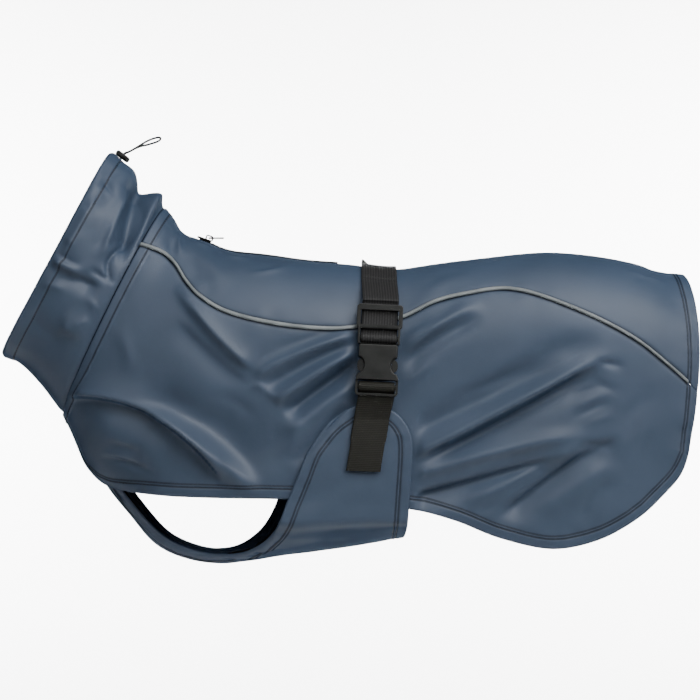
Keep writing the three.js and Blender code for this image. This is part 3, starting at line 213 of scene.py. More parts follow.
# The largest folds, which the solids have too.
BODY_FOLDS = {
    Side.NEAR: (
        Fold(-205, -92, -84, -153, 20.5, 12, 2.6, 3.8, 2, 0.12),
        Fold(-202, -97, -86, -158, 20, 4, 8, -1.6, 2, 0.2),
        Fold(-146, -101, -60, -163, 4, 5.5, 7, 3.8, 2, 0.2),
        Fold(-150, -89, -54, -154, 8, 13, 6, -4.6, 2, 0.25),
        Fold(-112, -98, -40, -140, 4, 16, 14, -2.6),
        Fold(-188, -114, -122, -142, 8, 12, 14, 3.8),
        Fold(-122, -14, -64, -75, -3, 9, 4, 3, 1.8, 0.2),
        Fold(-124, -37.5, -68, -87.5, -2, 4, 9, -2, 2, 0.25),
        Fold(-68, -79, 10, -48, 3.4, 4.5, 5, 3.4, 1.8, 0.14),
        Fold(-62, -88.5, 8, -53.5, 2, 4, 4.5, -2.6, 2, 0.2),
        Fold(-54, -97.5, 10, -58.5, 2, 6, 5, 4.6, 1.8, 0.14),
        Fold(-46, -106.5, 12, -63.5, 0, 5, 8, -5, 1.8, 0.16),
        Fold(-44, -117.5, 8, -82.5, 1, 6, 6, 3.2, 2, 0.2),
        Fold(-42, -141.5, 4, -95.5, 1, 6, 6, -3),
        Fold(26, -66.5, 94, -25.5, 1, 6, 5, 2.4, 2, 0.25),
        Fold(26, -77.5, 92, -34.5, 1, 5, 6, -2.8, 2, 0.25),
        Fold(90, -93.5, 174, -50.5, 6, 7, 9, -1.8),
        Fold(30, -123.5, 150, -68.5, 1, 9, 5, -3.8, 2, 0.25),
        Fold(20, -145.5, 188, -58.5, 0, 7, 5, 4.8, 1.8, 0.22),
        Fold(40, -141.5, 176, -66.5, -3, 4, 10, -5, 1.8, 0.22),
        Fold(22, -153.5, 172, -116.5, 4, 7, 5, 3.6, 2, 0.25),
        Fold(26, -167.5, 150, -132.5, -1, 4, 9, -4.6, 1.8, 0.2),
        Fold(76, -166.5, 166, -120.5, -1, 6, 5, 3, 1.8, 0.22),
        Fold(98, -180.5, 188, -119.5, 2, 4, 11, -4.6, 1.8, 0.22),
        Fold(126, -175.5, 184, -135.5, 2, 8, 8, 1.8),
        Fold(156, -183.5, 182, -143.5, 0, 6, 8, -1.8),
    ),
    Side.FAR: (
        Fold(-192, -96, -80, -150, 15, 12, 3, 3.4, 2, 0.15),
        Fold(-190, -104, -84, -158, 14, 4, 13, -2.6, 2, 0.2),
        Fold(-144, -92, -52, -160, 5, 7, 7, 3.2, 2, 0.2),
        Fold(-140, -82, -42, -134, 6, 11, 9, -4, 2, 0.25),
        Fold(-132, -20, -58, -70, -4, 9, 5, 2.6, 1.8, 0.2),
        Fold(-124, -40, -62, -82, -2, 5, 9, -2.6, 2, 0.25),
        Fold(-64, -70, 10, -48, 3, 5, 5, 3, 1.8, 0.16),
        Fold(-58, -90, 10, -62, 2, 6, 5, 4, 1.8, 0.16),
        Fold(-52, -99, 10, -70, 0, 5, 8, -4.4, 1.8, 0.18),
        Fold(-46, -126, 6, -92, 1, 6, 6, 2.4),
        Fold(28, -58, 98, -30, 1, 6, 5, 2.2, 2, 0.25),
        Fold(28, -72, 94, -38, 1, 5, 6, -2.6, 2, 0.25),
        Fold(32, -108, 142, -60, 2, 9, 5, -3.4, 2, 0.25),
        Fold(24, -128, 178, -62, 0, 7, 5, 4.4, 1.8, 0.22),
        Fold(42, -130, 170, -70, -3, 4, 10, -4.6, 1.8, 0.22),
        Fold(26, -146, 164, -106, 4, 7, 5, 3.2, 2, 0.25),
        Fold(30, -158, 154, -122, -1, 4, 9, -4.2, 1.8, 0.2),
        Fold(84, -172, 176, -128, 3, 4, 10, -4, 1.8, 0.22),
        Fold(120, -176, 180, -136, 2, 8, 8, 1.6),
    ),
}

# Smaller creases that run with the folds and between them.
BODY_CREASES = {
    Side.NEAR: (
        Fold(-205, -91, -86, -152, 20.5, 3, 1.2, 2.4, 1.5, 0.15),
        Fold(-203, -94, -88, -155, 20, 1.4, 4, -1.8, 1.5, 0.15),
        Fold(-142, -101, -68, -158, 4, 3, 3, 1.4, 1.6),
        Fold(-170, -123, -142, -134, 2, 1.6, 2.8, -1.7, 1.5),
        Fold(-172, -120, -146, -130, 2, 2.4, 2, 0.9),
        Fold(-178, -135, -132, -147, 3, 1.4, 2.6, -2.2, 1.5),
        Fold(-178, -132, -150, -135, 1, 1.6, 1.6, 1.3, 1.5),
        Fold(-164, -36, -150, -86, 3, 4, 5, 1),
        Fold(-114, -23, -63, -77, -2.4, 3, 2, 1.9, 1.5, 0.25),
        Fold(-66, -78, 6, -49, 3.4, 2.6, 2.4, 1.5, 1.5, 0.25),
        Fold(-58, -65, 4, -43, 1, 4, 4, -1.2),
        Fold(-50, -96, -68, -82, -2, 3.4, 3, 1.8, 1.6, 0.3),
        Fold(-52, -96, 6, -60, 2, 3, 3, 1.7, 1.5, 0.2),
        Fold(-44, -104, 9, -65, 0, 2.2, 3.6, -2.4, 1.5, 0.2),
        Fold(-41, -137, -40, -107, -3, 6, 6, 2.2),
        Fold(-32, -107, 6, -80, 1, 3, 3, 1.2),
        Fold(-100, -87, -58, -115, 4, 4, 4, -0.9),
        Fold(30, -63, 92, -26, 1, 3, 2.4, 1.5, 1.6),
        Fold(28, -71, 90, -32, 1, 2.4, 3, -1.7, 1.6),
        Fold(30, -57, 66, -37, 1, 2.4, 2.4, 1.2, 1.6),
        Fold(32, -93, 62, -63, 1, 3, 3, 1.3, 1.6),
        Fold(56, -103, 140, -65, 2, 3.4, 3.4, -1.4),
        Fold(34, -138, 180, -61.5, 0, 3, 2, 1.6, 1.5, 0.25),
        Fold(52, -136, 173, -68, -3, 2, 4, -2.3, 1.5, 0.25),
        Fold(164, -69, 192, -72, 1.5, 2.2, 3, -1.9, 1.6),
        Fold(40, -149, 160, -119, 4, 3, 3, 1.2, 1.6),
        Fold(34, -165, 149, -132.5, -1, 1.8, 4.4, -2.4, 1.5, 0.2),
        Fold(84, -163, 162, -122, -1, 3, 2.4, 1.3, 1.6),
        Fold(104, -177, 172, -124, 1, 2, 4.4, -2.4, 1.5, 0.25),
        Fold(150, -129, 188, -126, 2, 2.2, 3, -2, 1.6),
        Fold(76, -179, 118, -163, 2, 3, 3, -0.8),
        Fold(146, -97, 180, -83, 2, 2.2, 2.2, -1, 1.7),
        Fold(150, -109, 184, -94, 1, 2.2, 2.2, -1.1, 1.7),
        Fold(150, -103, 182, -89, 1.5, 2.2, 2.2, 0.9, 1.7),
        Fold(160, -115, 186, -102, 1, 2.4, 2.4, 0.8),
        Fold(160, -77, 192, -91, -1, 3, 3, -0.8),
        Fold(186, -118, 214, -84, 3, 5, 6, -1.1),
        Fold(190, -140, 210, -104, 3, 5, 5, 0.9),
        Fold(-116, 22, -92, 12, -2.4, 1.5, 1.5, 1.3, 1.4),
        Fold(-93, 11, -66, 7, -3.6, 1.4, 1.6, 1.5, 1.4),
        Fold(-74, -6, -38, 2, -2.6, 1.5, 1.5, 1.2, 1.4),
        Fold(-122, 12, -100, -18, 2, 6, 7, -1.6),
        Fold(-108, 8, -84, -20, 2, 5, 5, 1),
        Fold(-122, 28, -117, 3, -1.5, 1.8, 1.8, 1.6, 1.4),
        Fold(-128, 24, -120, 0, -1.5, 3, 3, -1.2, 1.6),
        Fold(40, -31, 88, 2, 2, 4, 5, 1),
        Fold(44, -22, 96, 4, 2, 4, 4, -0.8),
        Fold(190, -4, 226, -14, 1, 1.6, 2, 1.4, 1.4),
        Fold(196, -10, 222, -2, -1, 3, 3, -1.2),
    ),
    Side.FAR: (
        Fold(-191, -95, -82, -149, 15, 3, 1.4, 2, 1.5, 0.15),
        Fold(-188, -98, -84, -152, 14.6, 1.6, 5, -2, 1.5, 0.15),
        Fold(-110, -98, -44, -146, 2, 6, 6, -1.6),
        Fold(-172, -122, -138, -137, 3, 2, 2.6, -1.4),
        Fold(-160, -40, -146, -90, 3, 4, 5, 1),
        Fold(-128, -36, -60, -72, -2, 3.4, 3.4, 1.4, 1.5),
        Fold(-62, -69, 6, -49, 3, 2.6, 2.6, 1.4, 1.5, 0.25),
        Fold(-56, -89, 6, -63, 2, 3, 3, 1.6, 1.5, 0.2),
        Fold(-50, -97, 8, -71, 0, 2.4, 3.6, -2, 1.5, 0.2),
        Fold(-46, -120, 0, -88, 0, 4, 3.4, 1.3),
        Fold(32, -56, 94, -31, 1, 3, 2.6, 1.4, 1.6),
        Fold(30, -68, 92, -36, 1, 2.6, 3, -1.5, 1.6),
        Fold(38, -122, 172, -64, 0, 3, 2.2, 1.5, 1.5, 0.25),
        Fold(54, -127, 166, -72, -3, 2, 4, -2.1, 1.5, 0.25),
        Fold(38, -155, 150, -123, -1, 2, 4.4, -2.1, 1.5, 0.2),
        Fold(92, -169, 170, -130, 2, 2, 4.4, -2.1, 1.5, 0.25),
        Fold(148, -98, 184, -86, 1, 2.2, 2.2, -1, 1.7),
        Fold(150, -92, 182, -82, 1, 2.2, 2.2, 0.8, 1.7),
        Fold(188, -126, 212, -92, 3, 5, 6, -1),
        Fold(-112, 20, -88, 10, -2.4, 1.5, 1.5, 1.2, 1.4),
        Fold(-84, 8, -52, 4, -3, 1.4, 1.6, 1.2, 1.4),
        Fold(-120, 10, -98, -18, 2, 6, 7, -1.4),
        Fold(46, -26, 92, 0, 2, 4, 5, 0.9),
        Fold(186, -8, 222, -16, 1, 1.8, 2, 1.2, 1.4),
    ),
}

COLLAR_FOLDS = {
    Side.NEAR: (
        Fold(-136, 84, -157, -8, -5, 5, 6, -6.5, 2, 0.25),
        Fold(-129, 74, -147, 4, -3, 5, 5, 4.4, 2, 0.25),
        Fold(-146, 92, -174, -2, -6, 7, 7, 2),
        Fold(-172, 48, -200, -2, -2, 9, 9, 2.4),
        Fold(-216, 8, -184, -10, 0, 5, 4, 2.6, 2, 0.25),
        Fold(-206, -6, -174, -22, 2, 6, 7, -3),
        Fold(-204, -38, -178, -52, 2, 8, 8, 2.2),
        Fold(-230, -34, -198, -60, -3, 9, 9, -2),
    ),
    Side.FAR: (
        Fold(-136, 84, -161, -2, -4, 5, 6, -6.5, 2, 0.25),
        Fold(-129, 74, -151, 8, -3, 5, 5, 4, 2, 0.25),
        Fold(-146, 92, -178, 10, -5, 7, 7, 2),
        Fold(-216, 2, -178, -18, 3, 8, 8, 2.4),
        Fold(-216, -24, -180, -36, -2, 8, 8, -2.6),
        Fold(-224, -52, -184, -52, 3, 8, 8, 2),
    ),
}
COLLAR_CREASES = {
    Side.NEAR: (
        Fold(-150, 60, -160, 7, 9, 1.8, 8, -4.4, 1.7, 0.2),
        Fold(-146, 60, -152, 10, 9, 3, 1.6, 2, 1.6, 0.25),
        Fold(-155, 14, -164, -17, -9, 2.6, 2.2, -3, 1.6, 0.2),
        Fold(-154, 54, -174, 0, -1, 3, 3.4, 2.4, 1.6, 0.25),
        Fold(-166, 34, -176, 4, -1, 3, 3, -1.2),
        Fold(-176, -2, -164, -20, 2, 2, 2, 1.6, 1.5),
        Fold(-184, -3, -163, -15, 1, 2, 2.2, -2.2, 1.5),
        Fold(-212, 7, -186, -9, 0, 2.4, 2.2, 1.9, 1.5),
        Fold(-212, 11, -184, -4, 0, 1.8, 2, -1.7, 1.5),
        Fold(-216, -14, -196, -20, 1, 2.4, 2, 1.2, 1.5),
        Fold(-198, -8, -170, -20, 1.5, 2.4, 3.4, -1.8, 1.6),
        Fold(-188, -20, -172, -40, 2, 3, 3, 1.3, 1.6),
        Fold(-206, -42, -186, -52, 1, 4, 3, 1.6, 1.7),
        Fold(-194, -46, -180, -38, 1, 3, 3, 1, 1.7),
        Fold(-163, 76, -181, 34, -2, 4, 4, -1.3),
        Fold(-173, 70, -187, 30, -1, 5, 5, 1.2),
        Fold(-174, 62, -166, 44, 1, 2, 2, -1.4, 1.5),
        Fold(-192, 46, -178, 32, 1, 2.2, 2.2, -1.2, 1.5),
        Fold(-204, 22, -190, 10, 1, 2.2, 2.2, 1, 1.5),
        Fold(-230, -44, -206, -62, 2, 4, 4, 0.9),
        Fold(-140, 76, -146, 58, -1, 2, 2, 1.8, 1.4),
        Fold(-146, 76, -152, 60, -1, 2, 2, -1.6, 1.4),
    ),
    Side.FAR: (
        Fold(-150, 60, -162, 9, 8, 2, 8, -4, 1.7, 0.2),
        Fold(-156, 56, -176, 6, -1, 3, 3.4, 2, 1.6, 0.25),
        Fold(-180, 60, -168, 14, 2, 3, 3, 1.1),
        Fold(-198, 6, -170, -10, 1, 2.6, 2.2, -1.8, 1.5),
        Fold(-208, 10, -180, -4, 1, 3, 2.4, 1.4, 1.5),
        Fold(-222, -16, -194, -30, 2, 4, 4, -1),
        Fold(-228, -44, -198, -56, 2, 4, 4, 0.9),
        Fold(-212, -40, -190, -50, 1, 4, 4, 1.1),
        Fold(-142, 74, -148, 56, -1, 2, 2, 1.6, 1.4),
    ),
}

CLOTH = 1.5
SEAM_GAP = 0.3
HEM_WIDTH = 8.5
HEM_EXTRA = 0.9
ROUNDNESS = 2.15
STRAP_X = 20.5
LAP = SEAM_GAP + 0.4 + HEM_EXTRA + CLOTH


def smoothstep(value: Array, low: float, high: float) -> Array:
    """Ease from 0 to 1 as a value goes from low to high."""
    t = np.clip((np.asarray(value, float) - low) / (high - low), 0, 1)
    return t * t * (3 - 2 * t)


def bell(value: Array, width: Array | float) -> Array:
    """A soft hump of height 1 about 0."""
    return np.exp(-((value / width) ** 2))


def row_at(table: Array, place: Array) -> Array:
    """Blend a table's rows smoothly.

    Args:
        table: The rows, one to a line.
        place: Places counted in rows, of any shape.

    Returns:
        The blended rows, with the columns in the last axis.
    """
    place = np.asarray(place, float)
    padded = np.vstack((2 * table[0] - table[1], table, 2 * table[-1] - table[-2]))
    i = np.clip(np.floor(place).astype(int), 0, len(table) - 2)
    t = (place - i)[..., None]
    a, b, c, d = (padded[i + k] for k in range(4))
    return b + 0.5 * t * (c - a + t * (2 * a - 5 * b + 4 * c - d + t * (3 * (b - c) + d - a)))


def section(rows: Array, turn: Array) -> Array:
    """Points of the sections that rows describe.

    Args:
        rows: Blended rows, with the columns of BodyRow in the last axis.
        turn: From 0 at the middle to 2 at the edge, negative on the near side.

    Returns:
        Points in millimetres.
    """
    top_x, top_z, hem_x, hem_z, hem_y, widest, shoulder, close, bow, shift = np.moveaxis(rows, -1, 0)
    sign = np.where(turn < 0, -1.0, 1.0)
    run = np.minimum(np.abs(turn), 2)
    turned = np.minimum(1, shoulder / np.hypot(hem_x - top_x, hem_z - top_z))
    angle = np.where(run > 1, run - 1, run) * math.pi / 2
    cos = np.clip(np.cos(angle), 0, 1)
    sin = np.clip(np.sin(angle), 0, 1)
    power = 2 / ROUNDNESS
    share = np.where(run > 1, turned + (1 - turned) * sin, turned * (1 - cos**power))
    half = np.where(run > 1, hem_y + (widest - hem_y) * cos ** (2 * close), widest * sin**power)
    x = top_x + (hem_x - top_x) * share + bow * 4 * share * (1 - share)
    x = x + np.where(sign > 0, shift * share, 0)
    return np.stack((x, sign * half, top_z + (hem_z - top_z) * share), -1)


def piping_height(x: Array) -> Array:
    """The height of the piped seam at places along the coat.

    Args:
        x: Places along the coat.

    Returns:
        Heights, as seen from the side.
    """
    rows = np.array(PIPING_ROWS)
    last = len(rows) - 1
    i = np.clip(np.searchsorted(rows[:, 0], x) - 1, 0, last - 1)
    before, after = np.maximum(np.arange(last + 1) - 1, 0), np.minimum(np.arange(last + 1) + 1, last)
    slope = (rows[after, 1] - rows[before, 1]) / (rows[after, 0] - rows[before, 0])
    span = rows[i + 1, 0] - rows[i, 0]
    t = np.clip((x - rows[i, 0]) / span, 0, 1)
    rise = t * t * (3 - 2 * t)
    level = rows[i, 1] + (rows[i + 1, 1] - rows[i, 1]) * rise
    return level + span * t * (1 - t) * ((1 - t) * slope[i] - t * slope[i + 1])


def fold_depth(folds: Sequence[Fold], x: Array, z: Array, fade: float = 0.3, flare: float = 0.0) -> Array:
    """How far a list of folds moves points out.

    Args:
        folds: The folds, as seen from the side.
        x: Places along the coat.
        z: Heights.
        fade: The share of a fold's length over which each end fades.
        flare: How much wider a fold gets where it has faded.

    Returns:
        Depths in millimetres.
    """
    depth = np.zeros(np.shape(x))
    for f in folds:
        dx, dz = f.x1 - f.x0, f.z1 - f.z0
        long = math.hypot(dx, dz)
        t = np.clip(((x - f.x0) * dx + (z - f.z0) * dz) / long**2, 0, 1)
        across = ((z - f.z0) * dx - (x - f.x0) * dz) / long - f.bend * 4 * t * (1 - t)
        share = min(fade, f.soft)
        ends = smoothstep(t, 0, share) * smoothstep(1 - t, 0, share)
        width = np.where(across > 0, f.above, f.below) * (1 + flare * (1 - ends))
        depth += f.depth * ends * np.exp(-(np.abs(across / width) ** f.power))
    return depth


def unit(vectors: Array) -> Array:
    """The directions of vectors."""
    return vectors / np.maximum(np.linalg.norm(vectors, axis=-1, keepdims=True), 1e-9)


@dataclass(frozen=True)
class Ripple:
    """Uneven waves along a seam."""

    seed: int
    spacing: float

    def at(self, run: Array) -> Array:
        """Smooth random heights from -1 to 1 at running lengths."""
        heights = np.random.default_rng(self.seed).uniform(-1, 1, 400)
        return row_at(heights[:, None], np.asarray(run) / self.spacing % 396)[..., 0]


@dataclass(frozen=True)
class Swell:
    """Broad unevenness of cloth that nothing holds flat."""

    seed: int
    height: float = 0.35

    def at(self, x: Array, z: Array) -> Array:
        """Heights over a side of the coat.

        Args:
            x: Places along the coat.
            z: Heights.

        Returns:
            Depths in millimetres.
        """
        chance = np.random.default_rng(self.seed)
        total = np.zeros(np.shape(x))
        for wave in range(7):
            long = chance.uniform(34, 92)
            lean = chance.uniform(-0.5, 1.1)
            phase = chance.uniform(0, 2 * math.pi)
            across = x * math.sin(lean) + z * math.cos(lean)
            total += np.sin(2 * math.pi * across / long + phase + 0.6 * np.sin(x / (31 + 5 * wave)))
        return total * self.height / 2.6


class Line:
    """A curve in space, with the distance of other points from it."""

    def __init__(self, points: Array) -> None:
        """Keep the curve's points and running lengths."""
        self.points = points
        steps = np.linalg.norm(np.diff(points, axis=0), axis=1)
        self.run = np.concatenate(([0.0], np.cumsum(steps)))

    def nearest(self, spots: Array) -> tuple[Array, Array]:
        """Distances from the curve, and the running lengths nearest to the spots.

        Args:
            spots: Points, one to a row.

        Returns:
            The distances and the running lengths.
        """
        distance, run = [], []
        a, b = self.points[:-1], self.points[1:]
        ab = b - a
        square = np.maximum((ab**2).sum(1), 1e-9)
        for start in range(0, len(spots), 20000):
            part = spots[start : start + 20000]
            gap = (self.points**2).sum(1) - 2 * part @ self.points.T
            k = np.argmin(gap, axis=1)
            best, place = np.full(len(part), np.inf), np.zeros(len(part))
            for j in (np.maximum(k - 1, 0), np.minimum(k, len(a) - 1)):
                t = np.clip(((part - a[j]) * ab[j]).sum(1) / square[j], 0, 1)
                away = np.linalg.norm(part - a[j] - ab[j] * t[:, None], axis=1)
                place = np.where(away < best, self.run[j] + t * np.sqrt(square[j]), place)
                best = np.minimum(best, away)
            distance.append(best)
            run.append(place)
        return np.concatenate(distance), np.concatenate(run)


class Loft:
    """A surface through a table of lines, measured along each line."""

    def __init__(self, rows: Sequence[BodyRow]) -> None:
        """Measure the lines of a table.

        Args:
            rows: The lines.
        """
        self.table = np.array(rows, float)
        self.last = len(rows) - 1
        self.places = np.linspace(0, self.last, 321)
        turns = np.linspace(0, 2, 241)
        self.shares = np.linspace(0, 1, 241)
        self.turn: dict[Side, Array] = {}
        self.total: dict[Side, Array] = {}
        for side in Side:
            points = section(row_at(self.table, self.places)[:, None, :], side.value * (turns + 1e-9)[None, :])
            steps = np.linalg.norm(np.diff(points, axis=1), axis=2)
            length = np.concatenate((np.zeros((len(points), 1)), np.cumsum(steps, axis=1)), axis=1)
            self.total[side] = length[:, -1]
            self.turn[side] = np.array([np.interp(self.shares, line / line[-1], turns) for line in length])

    def length(self, u: Array, share: Array) -> Array:
        """The whole length of the lines at u, on the side that each share's sign names."""
        near = np.interp(u, self.places, self.total[Side.NEAR])
        far = np.interp(u, self.places, self.total[Side.FAR])
        return np.where(np.asarray(share) < 0, near, far)

    def point(self, u: Array, share: Array) -> Array:
        """Points of the plain surface.

        Args:
            u: Places counted in rows.
            share: From 0 in the middle to 1 at the edge, negative on the near side.

        Returns:
            Points in millimetres.
        """
        u, share = np.broadcast_arrays(np.clip(u, 0, self.last), np.clip(share, -1, 1))
        i = u / self.last * (len(self.places) - 1)
        j = np.abs(share) * (len(self.shares) - 1)
        i0 = np.minimum(i.astype(int), len(self.places) - 2)
        j0 = np.minimum(j.astype(int), len(self.shares) - 2)
        a, b = i - i0, j - j0
        turn = np.zeros(u.shape)
        for side in Side:
            t = self.turn[side]
            low = t[i0, j0] * (1 - b) + t[i0, j0 + 1] * b
            high = t[i0 + 1, j0] * (1 - b) + t[i0 + 1, j0 + 1] * b
            here = side.value * (low * (1 - a) + high * a)
            turn = np.where((share < 0) == (side is Side.NEAR), here, turn)
        return section(row_at(self.table, u), turn)


def normals(surface: Callable[[Array, Array], Array], u: Array, share: Array) -> Array:
    """The directions square to a surface.

    Args:
        surface: Gives points for places and shares.
        u: Places counted in rows.
        share: Signed shares.

    Returns:
        Unit directions, along-u crossed with along-share.
    """
    along = surface(u + 0.03, share) - surface(u - 0.03, share)
    down = surface(u, share + 0.006) - surface(u, share - 0.006)
    return unit(np.cross(along, down))


def inset_row(
    surface: Callable[[Array, Array], Array], u: Array, share: Array, inset: float, turn: int
) -> tuple[Array, Array]:
    """The places a distance inside an edge of a surface.

    Args:
        surface: Gives points for places and shares.
        u: Places of the edge, in order along it.
        share: Shares of the edge.
        inset: The distance in from the edge, in millimetres.
        turn: 1 or -1, the side of the edge that is inside.

    Returns:
        Places and shares of the row.
    """
    step_u, step_s = 0.02, 0.004
    inner_u = np.clip(u, step_u, None)
    edge = surface(u, share)
    along = unit(np.gradient(edge, axis=0))
    by_u = surface(inner_u + step_u, share) - surface(inner_u - step_u, share)
    by_s = surface(u, share + step_s) - surface(u, share - step_s)
    inward = np.cross(unit(np.cross(by_u, by_s)), along) * turn
    target = edge + unit(inward) * inset
    for _ in range(5):
        here = surface(u, share)
        by_u = (surface(u + step_u, share) - surface(u - step_u, share)) / (2 * step_u)
        by_s = (surface(u, share + step_s) - surface(u, share - step_s)) / (2 * step_s)
        by_u = np.where(np.linalg.norm(by_u, axis=1, keepdims=True) < 1e-6, 1e-3, by_u)
        frame_of = np.stack((by_u, by_s), -1)
        square = np.einsum("nij,nik->njk", frame_of, frame_of) + np.eye(2) * 1e-6
        pull = np.einsum("nij,ni->nj", frame_of, target - here)
        move = np.linalg.solve(square, pull[..., None])[..., 0]
        u, share = u + move[:, 0], share + move[:, 1]
    return u, share


class CoatForm:
    """The form of the coat's body, with its folds, hems and seams."""

    hem_stitch: float = 7.2
    hem_second: float = 9.2
    neck_stitch: float = 6.4

    def __init__(self) -> None:
        """Measure the body and lay its seams and edges."""
        self.loft = Loft(BODY_ROWS)
        self.last = self.loft.last
        places = np.linspace(0, self.last, 500)
        self.seam_length: Array = self._seam_lengths()
        self.edge = Line(self._edge_points())
        self.neck = Line(self.loft.point(0.0, np.linspace(-1, 1, 260)))
        self.seams = {
            side: Line(self.loft.point(places, side.value * self.seam_share(places, side))) for side in Side
        }
        self.swell = {Side.NEAR: Swell(4), Side.FAR: Swell(9)}
        self.hem_pucker = Ripple(21, 5.2)
        self.hem_tuck = Ripple(22, 13.0)
        self.neck_pucker = Ripple(23, 6.0)
        self.seam_pucker = Ripple(24, 9.0)

    def _seam_lengths(self) -> Array:
        """Where each line of the body crosses the piped seam, as a length from the middle."""
        loft = self.loft
        points = loft.point(loft.places[:, None], loft.shares[None, :])
        above = points[..., 2] - piping_height(points[..., 0])
        cross = np.argmax(above <= 0, axis=1)
        cross = np.where(cross == 0, len(loft.shares) - 1, cross)
        line = np.arange(len(loft.places))
        high, low = above[line, cross - 1], above[line, cross]
        t = np.clip(high / (high - low), 0, 1)
        share = loft.shares[cross - 1] + t * (loft.shares[1] - loft.shares[0])
        return share * loft.total[Side.FAR]

    def seam_at(self, u: Array) -> Array:
        """The running length of the piped seam on the lines at u."""
        return np.interp(u, self.loft.places, self.seam_length)

    def seam_share(self, u: Array, side: Side) -> Array:
        """The share of the lines at u where the piped seam lies."""
        return self.seam_at(u) / self.loft.length(u, np.full(np.shape(u), side.value))

    def _edge_points(self) -> Array:
        """The hem from the near chest round the tail to the far chest."""
        along = np.linspace(0, self.last, 420)
        near = self.loft.point(along, -1.0)
        tail = self.loft.point(float(self.last), np.linspace(-1, 1, 260)[1:-1])
        far = self.loft.point(along[::-1], 1.0)
        return np.concatenate((near, tail, far))

    def base(self, u: Array, share: Array) -> Array:
        """Points of the body before its folds."""
        return self.loft.point(u, share)

    def main_depth(self, x: Array, z: Array, side: Side) -> Array:
        """The depth of the folds that the solids have too.

        Args:
            x: Places along the coat.
            z: Heights.
            side: The side they are on.

        Returns:
            Depths in millimetres.
        """
        away = self.calm(x, z)
        along = bell(x - STRAP_X, 30)
        cinch = -3 * along * smoothstep(z, -140, -100) * smoothstep(30 - z, 0, 60)
        return fold_depth(BODY_FOLDS[side], x, z) * away + cinch

    def calm(self, x: Array, z: Array) -> Array:
        """How much of a fold is left beside the strap and under the flap, from 0 to 1."""
        flap_x = 8 + (-45 - 8) * np.clip((z + 97) / (-165 + 97), 0, 1)
        under = smoothstep((x - flap_x) / 9, -1, 0) * (1 - smoothstep(x, 43, 52))
        return smoothstep(np.abs(x - STRAP_X), 12, 26) * (1 - under * smoothstep(-z, 84, 98))

    def half_width(self, x: Array, z: Array, side: Side) -> Array:
        """The half width of the coat's outer face at places as seen from the side.

        Args:
            x: Places along the coat.
            z: Heights.
            side: The side.

        Returns:
            Half widths in millimetres.
        """
        low, high = np.zeros(np.shape(x)), np.full(np.shape(x), float(self.last))
        for _ in range(24):
            middle = (low + high) / 2
            here = self._line_x(middle, z)[0]
            low, high = np.where(here < x, middle, low), np.where(here < x, high, middle)
        _, share, row = self._line_x(low, z)
        top_x, top_z, hem_x, hem_z, hem_y, widest, shoulder, close = np.moveaxis(row, -1, 0)[:8]
        turned = shoulder / np.hypot(hem_x - top_x, hem_z - top_z)
        rounded = widest * (1 - np.clip(1 - share / turned, 0, 1) ** ROUNDNESS) ** (1 / ROUNDNESS)
        run = np.clip((share - turned) / (1 - turned), 0, 1)
        below = hem_y + (widest - hem_y) * (1 - run * run) ** close
        return np.where(share > turned, below, rounded) + self.main_depth(x, z, side)

    def _line_x(self, place: Array, z: Array) -> tuple[Array, Array, Array]:
        """Where lines of the body are at heights: x, share, and the blended rows."""
        row = row_at(self.loft.table, place)
        share = np.clip((z - row[..., 1]) / (row[..., 3] - row[..., 1]), 0, 1)
        x = row[..., 0] + (row[..., 2] - row[..., 0]) * share + row[..., 8] * 4 * share * (1 - share)
        return x, share, row

    def over_side(self, x: Array, z: Array, side: Side, out: Array | float) -> Array:
        """Points over the coat's side, moved out from it.

        Args:
            x: Places along the coat.
            z: Heights.
            side: The side.
            out: How far out, in millimetres.

        Returns:
            Points in millimetres.
        """
        half = self.half_width(x, z, side)
        along_x = self.half_width(x + 0.5, z, side) - self.half_width(x - 0.5, z, side)
        along_z = self.half_width(x, z + 0.5, side) - self.half_width(x, z - 0.5, side)
        normal = unit(np.stack((-along_x, np.full(np.shape(x), float(side.value)), -along_z), -1))
        return np.stack((x, side.value * half, z), -1) + normal * np.asarray(out)[..., None]

    def relief(self, spots: Array, side: Side) -> tuple[Array, dict[str, Array]]:
        """Small creases, hems, seams and puckers on one side.

        Args:
            spots: Points of the plain body, one to a row.
            side: The side they are on.

        Returns:
            Depths, and the distances that the finishes use.
        """
        x, z = spots[:, 0], spots[:, 2]
        edge, edge_run = self.edge.nearest(spots)
        neck, neck_run = self.neck.nearest(spots)
        seam, seam_run = self.seams[side].nearest(spots)
        free = smoothstep(edge, 2, 14) * smoothstep(neck, 4, 14)
        depth = fold_depth(BODY_CREASES[side], x, z, 0.48, 0.9) * self.calm(x, z) * free
        depth = depth + self.swell[side].at(x, z) * self.calm(x, z) * free
        rear = smoothstep(edge_run, 330, 420) * smoothstep(self.edge.run[-1] - edge_run, 330, 420)
        gather = 0.32 + 0.4 * rear
        tuck = self.hem_pucker.at(edge_run) * bell(edge - self.hem_stitch, 4.5) * 0.42
        tuck = tuck + self.hem_tuck.at(edge_run) * bell(edge - self.hem_stitch - 3, 9) * 0.8
        depth = depth + tuck * gather
        depth = depth + 0.4 * (1 - smoothstep(edge, self.hem_second - 0.2, self.hem_second + 1.2))
        depth = depth - 0.5 * bell(edge - self.hem_stitch, 0.6) - 0.4 * bell(edge - self.hem_second, 0.6)
        depth = depth - 0.8 * (1 - smoothstep(edge, 0, 1.3)) ** 2
        band = 1 - smoothstep(neck, 7.2, 8.4)
        pucker = self.neck_pucker.at(neck_run) * bell(neck - self.neck_stitch, 3.6)
        depth = depth + 0.5 * band - 0.3 * bell(neck - self.neck_stitch, 0.5) + 0.22 * pucker
        depth = depth - 0.7 * (1 - smoothstep(neck, 0, 1.4)) ** 2
